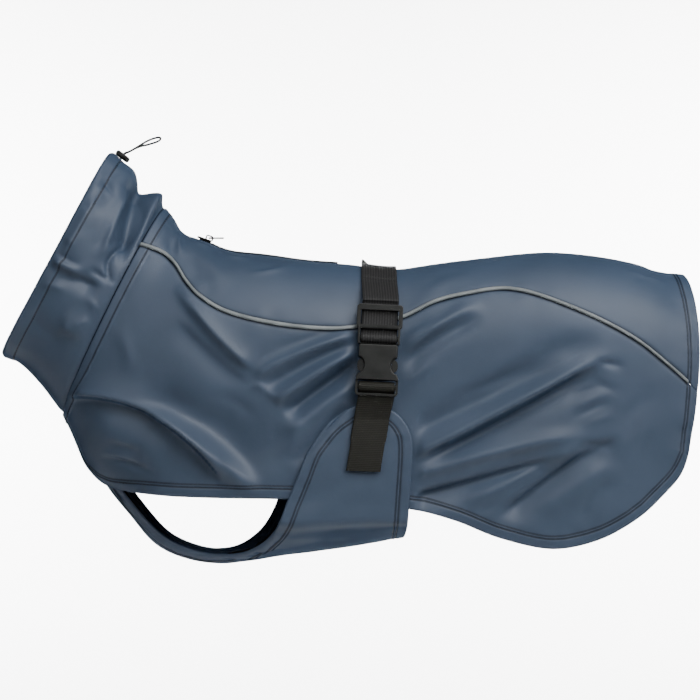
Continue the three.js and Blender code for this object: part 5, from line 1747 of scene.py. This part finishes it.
@dataclass
class CoatBody:
    """The back panel and the two side panels, with their piping."""

    form: CoatForm
    wardrobe: Wardrobe
    slot: tuple[float, float] = (-110, -6)
    slot_width: float = 7.5
    piping_half: float = 1.45
    piping_high: float = 1.9
    lines: Array = field(
        default_factory=lambda: spread((0, 0.7, 16), (0.7, 15.35, 216), (15.35, 16, 20))
    )

    def build(self) -> None:
        """Make the panels and the piping."""
        self.back()
        for side in Side:
            self.side(side)
            self.piping(side)

    def side(self, side: Side) -> None:
        """Make one side panel, from the piped seam to the hem.

        Args:
            side: Which one.
        """
        name = f"side_cloth_{side.name.lower()}"
        down = spread((0, 0.06, 5), (0.06, 0.86, 92), (0.86, 1, 20))
        columns, rows = (self.lines, down) if side is Side.FAR else (self.lines, down[::-1])
        mesh, u, r = lattice(name, columns, rows)
        total = self.form.loft.length(u, np.full(len(u), side.value))
        start = self.form.seam_at(u) + SEAM_GAP / 2
        top, low = 4.0, 11.0
        middle = total - low - start - top
        length = start + top * np.clip(r / 0.06, 0, 1) + middle * np.clip((r - 0.06) / 0.8, 0, 1)
        length = length + low * np.clip((r - 0.86) / 0.14, 0, 1)
        points, marks = self.form.measured(u, side.value * length / total)
        shape(mesh, points, marks)
        self.dress(mesh, f"side_panel_{side.name.lower()}")

    def back(self) -> None:
        """Make the back panel, with the opening for the zip."""
        across = spread((-1, -0.955, 4), (-0.955, 0.955, 108), (0.955, 1, 4))
        mesh, u, r = lattice("back_cloth", self.lines, across)
        edge = self.form.seam_at(u) - SEAM_GAP / 2
        half = self.slot_width / 2
        step = 1.91 / 108
        inner = round(0.07 / step) * step
        size = np.abs(r)
        length = np.where(size < inner, half * size / inner, half + (edge - half) * (size - inner) / (1 - inner))
        share = np.sign(r) * length / self.form.loft.length(u, r)
        points, marks = self.form.measured(u, share)
        shape(mesh, points, marks)
        bm = bmesh.new()
        bm.from_mesh(mesh)
        gone = []
        for face in bm.faces:
            centre = face.calc_center_median() / MM
            in_slot = self.slot[0] < centre.x < self.slot[1] and abs(centre.y) < half - 0.05
            if in_slot and centre.z > -40:
                gone.append(face)
        bmesh.ops.delete(bm, geom=gone, context="FACES")
        bm.to_mesh(mesh)
        bm.free()
        self.dress(mesh, "back_panel")

    def dress(self, mesh: bpy.types.Mesh, node: str) -> None:
        """Give a panel its cloth, thickness and place in the frame.

        Args:
            mesh: The panel's outer face.
            node: The node that it stands for.
        """
        piece = add_piece(mesh, (self.wardrobe.cloth, self.wardrobe.backing))
        thicken(piece, CLOTH)
        declare(piece, node)
        tell(piece)

    def piping(self, side: Side) -> None:
        """Make the piping of one seam, up to the tail hem.

        Args:
            side: Which one.
        """
        form = self.form
        ends = np.linspace(13, form.last, 200)
        seam = form.base(ends, side.value * form.seam_share(ends, side))
        last = float(ends[form.edge.nearest(seam)[0] > form.hem_second][-1])
        lines = np.linspace(0, last, 301)
        mesh, angle, u = lattice(f"piping_{side.name.lower()}_cord", np.linspace(0, 2 * math.pi, 15), lines)
        total = form.loft.length(u, np.full(len(u), side.value))
        across = np.cos(angle) * self.piping_half
        out = 0.75 + np.sin(angle) * (self.piping_high - 0.75) + 0.1 * form.seam_pucker.at(u * 60)
        share = side.value * (form.seam_at(u) + across) / total
        shape(mesh, form.point(u, share, out, fine=False))
        lay_weave(mesh, angle, u * 25)
        close_ring(mesh, True)
        piece = add_piece(mesh, (self.wardrobe.piping,))
        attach(piece, "coat")
        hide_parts(f"piping_{side.name.lower()}")
        tell(piece)


@dataclass
class Collar:
    """The collar, a tube with a casing for the drawcord."""

    form: CollarForm
    wardrobe: Wardrobe

    def build(self) -> None:
        """Make the collar."""
        places = spread((0.01, 0.15, 5), (0.15, 2.7, 62), (2.7, 3, 14))
        mesh, angle, place = lattice("collar_cloth", np.linspace(0, 2 * math.pi, 301), places)
        points, marks = self.form.measured(place, angle)
        shape(mesh, points, marks)
        close_ring(mesh, False)
        bm = bmesh.new()
        bm.from_mesh(mesh)
        middle = sum((v.co for v in bm.verts), Vector()) / len(bm.verts)
        bm.faces.ensure_lookup_table()
        face = bm.faces[0]
        if face.normal.dot(face.calc_center_median() - middle) < 0:
            bmesh.ops.reverse_faces(bm, faces=bm.faces[:])
        bm.to_mesh(mesh)
        bm.free()
        piece = add_piece(mesh, (self.wardrobe.cloth, self.wardrobe.backing))
        thicken(piece, CLOTH)
        declare(piece, "collar")
        tell(piece)


@dataclass
class BellyPanel:
    """The chest strap and belly flap, one piece."""

    form: BellyForm
    wardrobe: Wardrobe

    def build(self) -> None:
        """Make the panel."""
        rows = spread((0, 0.4, 5), (0.4, 16.1, 190), (16.1, 17, 14))
        across = spread((-1, -0.9, 14), (-0.9, 0.9, 90), (0.9, 1, 14))
        mesh, share, u = lattice("belly_cloth", across, rows)
        points, marks = self.form.measured(u, share)
        shape(mesh, points, marks)
        piece = add_piece(mesh, (self.wardrobe.cloth, self.wardrobe.backing))
        thicken(piece, CLOTH)
        declare(piece, "belly_panel")
        tell(piece)


class Bar(NamedTuple):
    """A round bar across the buckle that webbing turns over."""

    z: float
    out: float
    radius: float
    meets: float


@dataclass
class Strap:
    """The elastic webbing over the back, and the sewn webbing below the buckle."""

    form: CoatForm
    wardrobe: Wardrobe
    width: float = 25.0
    thick: float = 1.3
    buckle: tuple[float, float, float] = (19.4, -65.6, -61.0)
    tilt: float = 0.05
    lean: float = 0.13
    roller: Bar = Bar(8.5, 3.9, 1.9, -0.652)
    lower_bar: Bar = Bar(-24.9, 3.9, 2.0, -0.983)
    columns: int = 40

    def __post_init__(self) -> None:
        """Set the buckle's own frame: x along its width, y up the webbing, z out from the coat."""
        up = Vector((self.tilt, self.lean, 1)).normalized()
        out = Vector((0, -1, self.lean)).normalized()
        across = up.cross(out).normalized()
        up = out.cross(across)
        self.frame = np.array((across, up, out)).T
        self.across = np.linspace(-self.width / 2, self.width / 2, self.columns + 1)

    def in_buckle(self, up: float, out: float, facing_up: float, facing_out: float) -> tuple[Array, Array]:
        """A row of the webbing in the buckle's frame, with the direction in which it is thick."""
        local = np.stack((self.across, np.full_like(self.across, up), np.full_like(self.across, out)), -1)
        facing = unit(self.frame @ np.array((0.0, facing_up, facing_out)))
        return local @ self.frame.T + np.array(self.buckle), np.tile(facing, (len(local), 1))

    def turn(self, bar: Bar, away: int, count: int) -> list[tuple[Array, Array]]:
        """A turn of webbing round a bar, from its front over the side that away names to its back."""
        rows = []
        for angle in np.linspace(bar.meets, math.pi, count + 1):
            up, out = away * math.sin(angle), math.cos(angle)
            radius = bar.radius + SEAM_GAP
            rows.append(self.in_buckle(bar.z + up * radius, bar.out + out * radius, up, out))
        return rows

    def on_coat(self, length: float, side: Side, lift: float) -> tuple[Array, Array]:
        """A row of the webbing on the coat, a running length down from the middle of the back.

        Args:
            length: The running length.
            side: The side.
            lift: How far the webbing's inner face stands off.

        Returns:
            The row's points and the directions in which it is thick.
        """
        u, share = self.form.place_at(STRAP_X + self.across, np.full(len(self.across), length), side)
        near_edge = smoothstep(-self.across, self.width / 5, self.width / 2)
        curl = 4.5 * bell(length - 14, 7) * near_edge if side is Side.FAR else 0.0 * near_edge
        point = self.form.point(u, share, lift + curl, fine=False)
        out = self.form.point(u, share, lift + curl + 1, fine=False)
        return point, out - point

    def build(self) -> None:
        """Make both pieces of webbing."""
        self.back()
        self.lower()

    def back(self) -> None:
        """Make the elastic webbing, from the far flap over the back to the buckle."""
        rows = []
        for length in np.linspace(206, 4, 40):
            u, share = self.form.place_at(np.array([STRAP_X]), np.array([length]), Side.FAR)
            z = float(self.form.base(u, share)[0, 2])
            if z <= -143:
                continue
            over_flap = float(smoothstep(-z, 84, 98))
            over_piping = float(bell(z - piping_height(np.array([STRAP_X]))[0], 8))
            lift = 1.2 + (LAP + 0.9 - 1.2) * over_flap + 2.4 * over_piping
            rows.append(self.on_coat(float(length), Side.FAR, lift))
        for length in np.linspace(0, 60, 15):
            u, share = self.form.place_at(np.array([STRAP_X]), np.array([max(length, 0.01)]), Side.NEAR)
            if self.form.base(u, share)[0, 2] > -13:
                rows.append(self.on_coat(float(max(length, 0.01)), Side.NEAR, 1.2))
        under = self.roller.out - self.roller.radius - SEAM_GAP
        behind = under + SEAM_GAP
        rows.append(self.in_buckle(37, behind, 0, 1))
        rows.append(self.in_buckle(32, behind, 0, 1))
        rows.append(self.in_buckle(14.6, behind, 0.3, 1))
        rows.extend(self.turn(self.roller, -1, 10))
        rows.append(self.in_buckle(17.6, under, 0, -1))
        rows.append(self.in_buckle(33, under, 0, -1))
        self.strip("webbing_over_back", rows, self.wardrobe.elastic, "webbing_back", 420)

    def lower(self) -> None:
        """Make the sewn webbing, from its end on the flap up round the buckle's bar and back."""
        bar = self.frame @ np.array((0, self.lower_bar.z, 0)) + np.array(self.buckle)
        fall = bar[2] + 143

        def on_flap(z: float, lift: float, facing: int) -> tuple[Array, Array]:
            """A row on the flap at a height."""
            middle = bar[0] - 9.2 * (bar[2] - z) / fall
            drawn = 1 - 0.055 * float(smoothstep(-z, 121, 125))
            x, high = middle + self.across * drawn, z - self.across * 0.04
            point = self.form.over_side(x, high, Side.NEAR, np.full(len(x), LAP + lift))
            out = self.form.over_side(x, high, Side.NEAR, np.full(len(x), LAP + lift + facing))
            return point, unit(out - point)

        back = SEAM_GAP + 0.2
        front = back + self.thick + SEAM_GAP
        under = self.lower_bar.out - self.lower_bar.radius - SEAM_GAP
        rows = [on_flap(z, front, 1) for z in np.linspace(-143, -106, 19)]
        rows.append(self.in_buckle(-31.8, under + SEAM_GAP, 0, 1))
        rows.append(self.in_buckle(-29.2, under + SEAM_GAP, -0.3, 1))
        rows.extend(self.turn(self.lower_bar, 1, 10))
        rows.append(self.in_buckle(-31.8, under, 0, -1))
        rows.extend(on_flap(z, back + self.thick, -1) for z in np.linspace(-106, -129, 6))
        self.strip("webbing_below_buckle", rows, self.wardrobe.woven, "webbing_lower", 260)

    def strip(
        self,
        name: str,
        rows: list[tuple[Array, Array]],
        material: bpy.types.Material,
        node: str,
        count: int,
    ) -> None:
        """Make a strip of webbing through rows.

        Args:
            name: The piece's name.
            rows: Points of its inner face, with the directions in which it is thick.
            material: Its finish.
            node: The node that it stands for.
            count: How many rows the mesh has.
        """
        inner = np.array([row[0] for row in rows])
        out = np.array([row[1] for row in rows])
        middle = (inner + out * self.thick / 2)[:, self.columns // 2]
        run = np.concatenate(([0.0], np.cumsum(np.linalg.norm(np.diff(middle, axis=0), axis=1))))
        table = np.concatenate((inner.reshape(len(rows), -1), out.reshape(len(rows), -1)), axis=1)
        wanted = np.linspace(0, run[-1], count + 1)
        place = np.interp(wanted, run, np.arange(len(rows)))
        fine = row_at(table, place)
        half = inner[0].size
        inner = fine[:, :half].reshape(count + 1, -1, 3)
        out = unit(fine[:, half:].reshape(count + 1, -1, 3))
        mesh, i, j = lattice(name, np.arange(self.columns + 1), np.arange(count + 1))
        i, j = i.astype(int), j.astype(int)
        edge = np.abs(self.across[i]) / (self.width / 2)
        thin = 0.35 * smoothstep(edge, 0.93, 1)
        points = inner[j, i] + out[j, i] * (self.thick - thin)[:, None]
        shape(mesh, points)
        lay_weave(mesh, self.across[i], wanted[j])
        smooth(mesh)
        mesh.update()
        bm = bmesh.new()
        bm.from_mesh(mesh)
        bm.faces.ensure_lookup_table()
        middle_face = bm.faces[len(bm.faces) // 2]
        centre = np.array(middle_face.calc_center_median()) / MM
        nearest = np.argmin(np.linalg.norm(points - centre, axis=1))
        if middle_face.normal.dot(Vector(out[j[nearest], i[nearest]])) < 0:
            bmesh.ops.reverse_faces(bm, faces=bm.faces[:])
        bm.to_mesh(mesh)
        bm.free()
        piece = add_piece(mesh, (material,))
        thicken(piece, self.thick - 0.05, 0)
        declare(piece, node)
        tell(piece)


@dataclass
class Hardware:
    """The buckle, the zip's slider and pull, and the cord lock, with softened edges."""

    wardrobe: Wardrobe

    def build(self) -> None:
        """Make every moulded or cast piece."""
        plastic, enamel = self.wardrobe.plastic, self.wardrobe.enamel
        self.moulded("buckle_plug", "plug_moulding", plastic, 0.3, "coat")
        self.moulded("buckle_socket", "socket_moulding", plastic, 0.3, "coat")
        self.moulded("cord_lock", "cord_lock_moulding", plastic, 0.3, "coat")
        self.moulded("zip_slider", "slider_casting", enamel, 0.18, "coat")
        self.moulded("zip_pull", "pull_casting", enamel, 0.14, "pull_tab")

    def moulded(
        self, node: str, name: str, material: bpy.types.Material, edge: float, body: str
    ) -> None:
        """Make a merged copy of a node with rounded edges.

        Args:
            node: The node.
            name: The piece's name.
            material: Its finish.
            edge: How round its edges are, in millimetres.
            body: The body that it rides on.
        """
        bm = bmesh.new()
        bm.from_mesh(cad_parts[node].data)
        bmesh.ops.remove_doubles(bm, verts=bm.verts[:], dist=2e-6)
        bmesh.ops.dissolve_limit(
            bm, angle_limit=math.radians(0.05), verts=bm.verts[:], edges=bm.edges[:]
        )
        mesh = bpy.data.meshes.new(name)
        bm.to_mesh(mesh)
        bm.free()
        piece = add_piece(mesh, (material,))
        rounding = piece.modifiers.new("edges", "BEVEL")
        rounding.width = edge * MM
        rounding.segments = 3
        rounding.limit_method = "ANGLE"
        rounding.angle_limit = math.radians(32)
        flat = piece.modifiers.new("flat_faces", "WEIGHTED_NORMAL")
        flat.mode = "FACE_AREA"
        flat.weight = 100
        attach(piece, body)
        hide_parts(node)
        tell(piece)


@dataclass
class Zip:
    """The closed zip along the back: its tape and its coil."""

    form: CoatForm
    wardrobe: Wardrobe
    front: float = -108.0
    rear: float = -8.0
    pitch: float = 1.45

    def build(self) -> None:
        """Make the tape and the coil."""
        self.tape()
        self.coil()

    def tape(self) -> None:
        """Make the tape under the back panel."""
        ends = self.form.place_at(np.array([-118.0, 2.0]), np.array([0.01, 0.01]), Side.NEAR)[0]
        rows = np.linspace(ends[0], ends[1], 90)
        mesh, across, u = lattice("zip_tape_cloth", np.linspace(12, -12, 25), rows)
        share = across / self.form.loft.length(u, across)
        points = self.form.point(u, share + 1e-7, -CLOTH - SEAM_GAP - 0.2, fine=False)
        shape(mesh, points)
        lay_weave(mesh, across, u * 25)
        piece = add_piece(mesh, (self.wardrobe.tape,))
        thicken(piece, 0.9, 0)
        declare(piece, "zip_tape")
        tell(piece)

    def coil(self) -> None:
        """Make the coil's turns, left and right by turns."""
        bm = bmesh.new()
        bmesh.ops.create_cube(bm, size=1.0)
        bmesh.ops.scale(bm, vec=Vector((1.05, 3.0, 1.5)) * MM, verts=bm.verts[:])
        bmesh.ops.bevel(
            bm,
            geom=bm.edges[:],
            offset=0.42 * MM,
            offset_type="OFFSET",
            affect="EDGES",
            segments=2,
            profile=0.5,
            material=-1,
        )
        one = bpy.data.meshes.new("coil_turn")
        bm.to_mesh(one)
        bm.free()
        places = []
        count = int((self.rear - self.front) / (self.pitch / 2))
        for k in range(count):
            base = self.form.back_frame(self.front + k * self.pitch / 2)
            places.append(base @ Matrix.Translation((0, 0.75 if k % 2 else -0.75, 0.3)))
        mesh = repeated("zip_coil_turns", one, places)
        piece = add_piece(mesh, (self.wardrobe.coil,))
        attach(piece, "coat")
        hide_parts("zip_chain")
        tell(piece)


def repeated(name: str, one: bpy.types.Mesh, places: Sequence[Matrix]) -> bpy.types.Mesh:
    """Repeat a small mesh at places.

    Args:
        name: The new mesh's name.
        one: The small mesh, in metres about the origin. It is removed.
        places: Frames in millimetres.

    Returns:
        The joined mesh.
    """
    start = np.zeros(len(one.vertices) * 3, np.float32)
    one.vertices.foreach_get("co", start)
    start = start.reshape(-1, 3)
    bm = bmesh.new()
    for place in places:
        turned = start @ np.array(place.to_3x3()).T + np.array(place.translation) * MM
        one.vertices.foreach_set("co", turned.astype(np.float32).ravel())
        bm.from_mesh(one)
    mesh = bpy.data.meshes.new(name)
    bm.to_mesh(mesh)
    bm.free()
    bpy.data.meshes.remove(one)
    return mesh


@dataclass
class Drawcord:
    """The loop of elastic cord that comes up through the cord lock."""

    collar: CollarForm
    wardrobe: Wardrobe
    width: float = 1.6
    lock_x: float = -165.5
    lock_top: float = 5.0

    def route(self) -> Array:
        """The cord's middle line: up one strand, round the tip and back down the other.

        Returns:
            Points in millimetres.
        """
        lock = self.collar.top_frame(self.lock_x)

        def strand(side: Side) -> list[Array]:
            """One strand, from inside the lock to the tip."""
            inside = [
                np.array(lock @ Vector((0, side.value * 1.15, z))) for z in (0.5, 2.9, self.lock_top + 0.6)
            ]
            free = [
                np.array((row.x, side.value * row.spread, row.z + side.value * row.open)) for row in CORD_ROWS
            ]
            return inside + free

        knots = strand(Side.NEAR) + [np.array((CORD_TIP[0], 0.0, CORD_TIP[1]))] + strand(Side.FAR)[::-1]
        table = np.array(knots)
        dense = row_at(table, np.linspace(0, len(table) - 1, 600))
        run = Line(dense).run
        wanted = np.linspace(0, run[-1], 39)
        return np.stack([np.interp(wanted, run, dense[:, k]) for k in range(3)], -1)

    def build(self) -> None:
        """Make the cord and state its length."""
        path = self.route()
        line = Line(path)
        count = 260
        wanted = np.linspace(0, line.run[-1], count + 1)
        place = np.interp(wanted, line.run, np.arange(len(path)))
        middle = row_at(path, place)
        ahead = unit(np.gradient(middle, axis=0))
        side = unit(np.cross(ahead, np.array((0.0, 0.35, 1.0))))
        up = np.cross(side, ahead)
        mesh, angle, j = lattice("drawcord_loop", np.linspace(0, 2 * math.pi, 13), np.arange(count + 1))
        j = j.astype(int)
        radius = self.width / 2
        points = middle[j] + radius * (np.cos(angle)[:, None] * side[j] + np.sin(angle)[:, None] * up[j])
        shape(mesh, points)
        lay_weave(mesh, angle * radius, wanted[j])
        close_ring(mesh, True)
        piece = add_piece(mesh, (self.wardrobe.cord,))
        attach(piece, "coat")
        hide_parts("cord_loop")
        LOG.info("drawcord: %.1f mm", line.run[-1])
        tell(piece)


@dataclass
class Stitching:
    """Every row of stitches."""

    coat: CoatForm
    collar: CollarForm
    belly: BellyForm
    wardrobe: Wardrobe
    pitch: float = 3.1
    long: float = 2.3
    thick: float = 0.5

    def build(self) -> None:
        """Make the stitches of the hems, the neck band, the belly panel and the casing."""
        self.sew("hem_stitches", self.hem_rows())
        self.sew("neck_stitches", self.neck_rows())
        self.sew("belly_stitches", self.belly_rows())
        self.sew("casing_stitches", self.casing_rows())

    def hem_rows(self) -> list[Array]:
        """The two rows round the body's hem."""
        form = self.coat
        low, last = 0.35, float(form.last)
        rows = []
        for inset in (form.hem_stitch, form.hem_second):
            for side in Side:
                along = np.linspace(low, last - 0.02, 800)
                u, share = inset_row(form.base, along, np.full(800, side.value * 0.999), inset, -side.value)
                u, share = self.within(u, share, form, inset)
                rows.append(form.point(u, share, 0.05))
            across = np.linspace(-0.995, 0.995, 700)
            u, share = inset_row(form.base, np.full(700, last - 0.03), across, inset, 1)
            u, share = self.within(u, share, form, inset)
            rows.append(form.point(u, share, 0.05))
        return rows

    def within(
        self, u: Array, share: Array, form: "CoatForm | BellyForm", inset: float
    ) -> tuple[Array, Array]:
        """Keep the places whose nearest edge is at the inset."""
        away, _ = form.edge.nearest(form.base(u, share))
        kept = np.abs(away - inset) < 0.6
        return u[kept], share[kept]

    def neck_rows(self) -> list[Array]:
        """The row along the neck band."""
        form = self.coat
        share = np.linspace(-0.985, 0.985, 1000)
        u, share = inset_row(form.base, np.full(1000, 0.03), share, form.neck_stitch, -1)
        return [form.point(u, share, 0.05)]

    def belly_rows(self) -> list[Array]:
        """The two rows round the belly panel."""
        form = self.belly
        last = float(form.last)
        rows = []
        for inset in (form.hem_stitch, form.hem_second):
            for side in Side:
                along = np.linspace(0.3, last - 0.02, 900)
                u, share = inset_row(form.base, along, np.full(900, side.value * 0.999), inset, -side.value)
                u, share = self.within(u, share, form, inset)
                rows.append(form.measured(u, share, 0.05)[0])
            across = np.linspace(-0.995, 0.995, 700)
            u, share = inset_row(form.base, np.full(700, last - 0.03), across, inset, 1)
            u, share = self.within(u, share, form, inset)
            rows.append(form.measured(u, share, 0.05)[0])
        return rows

    def casing_rows(self) -> list[Array]:
        """The row that closes the collar's casing."""
        form = self.collar
        angle = np.linspace(0, 2 * math.pi, 900)
        outer = form.base(np.full(900, 3.0), angle)
        within = form.base(np.full(900, 2.7), angle)
        per_row = np.linalg.norm(outer - within, axis=1) / 0.3
        return [form.measured(3 - form.casing / per_row, angle, 0.05)[0]]

    def sew(self, name: str, rows: Sequence[Array]) -> None:
        """Lay stitches along rows.

        Args:
            name: The piece's name.
            rows: Dense points of each row.
        """
        bm = bmesh.new()
        bmesh.ops.create_uvsphere(bm, u_segments=6, v_segments=4, radius=0.5)
        bmesh.ops.rotate(bm, cent=Vector(), matrix=Matrix.Rotation(math.pi / 2, 3, "Y"), verts=bm.verts[:])
        bmesh.ops.scale(bm, vec=Vector((self.long, self.thick, self.thick * 0.8)) * MM, verts=bm.verts[:])
        one = bpy.data.meshes.new("stitch")
        bm.to_mesh(one)
        bm.free()
        places = []
        for row in rows:
            line = Line(row)
            middle = np.arange(self.pitch / 2, line.run[-1], self.pitch)
            spots = np.stack([np.interp(middle, line.run, row[:, k]) for k in range(3)], -1)
            ahead = np.stack([np.interp(middle + 0.5, line.run, row[:, k]) for k in range(3)], -1)
            for spot, then in zip(spots, ahead):
                x = Vector(then - spot)
                if not 0.2 < x.length < 1.0:
                    continue
                turned = x.to_track_quat("X", "Z").to_matrix().to_4x4()
                turned.translation = Vector(spot)
                places.append(turned)
        piece = add_piece(repeated(name, one, places), (self.wardrobe.thread,))
        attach(piece, "coat")
        tell(piece)


@dataclass
class Studio:
    """The camera, the lights, the floor and the sweep behind."""

    wardrobe: Wardrobe
    distance: float = 1.5
    height: float = -0.06
    lens: float = 107.14
    floor: float = -1.3

    def build(self) -> None:
        """Make the camera, the lights and the floor."""
        self.camera()
        self.backdrop()
        target = Vector((-0.01, 0, -0.06))
        self.light("key_softbox", (0.55, -1.05, 0.82), target, 1.1, 31)
        self.light("fill_softbox", (-0.8, -1.3, 0.5), target, 1.0, 6)
        self.light("sweep_light_left", (-1.15, 0.8, 0.1), Vector((-0.6, 1.84, -0.05)), 1.2, 80, 100)
        self.light("sweep_light_right", (1.15, 0.8, 0.1), Vector((0.6, 1.84, -0.05)), 1.2, 80, 100)
        self.light("top_softbox", (0.15, -0.45, 1.3), target, 1.0, 6)
        self.light("tail_softbox", (1.5, -0.9, 0.1), target, 0.8, 6)
        world = bpy.data.worlds.new("studio")
        world.use_nodes = True
        world.node_tree.nodes["Background"].inputs["Color"].default_value = (1, 1, 1, 1)
        world.node_tree.nodes["Background"].inputs["Strength"].default_value = 0.08
        bpy.context.scene.world = world

    def camera(self) -> None:
        """Make the camera, level with the middle of the coat."""
        data = bpy.data.cameras.new("view_from_near_side")
        data.sensor_width = 36
        data.lens = self.lens
        camera = bpy.data.objects.new(data.name, data)
        camera.location = (0, -self.distance, self.height)
        camera.rotation_euler = (math.pi / 2, 0, 0)
        bpy.context.scene.collection.objects.link(camera)
        bpy.context.scene.camera = camera

    def light(
        self,
        name: str,
        place: tuple[float, float, float],
        target: Vector,
        size: float,
        power: float,
        spread_deg: float = 180,
    ) -> None:
        """Make a square softbox that faces the coat.

        Args:
            name: Its name.
            place: Where it stands, in metres.
            target: What it faces.
            size: Its side, in metres.
            power: Its power.
            spread_deg: How wide its beam is.
        """
        data = bpy.data.lights.new(name, "AREA")
        data.size = size
        data.energy = power
        data.spread = math.radians(spread_deg)
        lamp = bpy.data.objects.new(name, data)
        lamp.location = place
        lamp.rotation_mode = "QUATERNION"
        lamp.rotation_quaternion = (target - Vector(place)).to_track_quat("-Z", "Y")
        bpy.context.scene.collection.objects.link(lamp)

    def backdrop(self) -> None:
        """Make the floor and the sweep behind it, one sheet of paper."""
        mesh, x, run = lattice("paper_sweep", np.linspace(-4, 4, 9), spread((-2, 1.2, 8), (1.2, 2.2, 24), (2.2, 3.5, 8)))
        bend = np.clip(run - 1.2, 0, 1.0) * math.pi / 2
        radius = 2 / math.pi
        y = np.where(run < 1.2, run, 1.2 + radius * np.sin(bend))
        z = np.where(run < 2.2, radius * (1 - np.cos(bend)), radius + run - 2.2)
        points = np.stack((x, y, z + self.floor), -1) / MM
        shape(mesh, points)
        paper = add_piece(mesh, (self.wardrobe.paper,))


def main() -> None:
    """Build every sub-assembly in order."""
    logging.basicConfig(level=logging.INFO, format="%(message)s")
    wardrobe = Wardrobe()
    Studio(wardrobe).build()
    collar = CollarForm()
    Drawcord(collar, wardrobe).build()
    coat = CoatForm()
    belly = BellyForm(coat)
    CoatBody(coat, wardrobe).build()
    Collar(collar, wardrobe).build()
    BellyPanel(belly, wardrobe).build()
    Strap(coat, wardrobe).build()
    Hardware(wardrobe).build()
    Zip(coat, wardrobe).build()
    Stitching(coat, collar, belly, wardrobe).build()


if __name__ == "__main__":
    main()
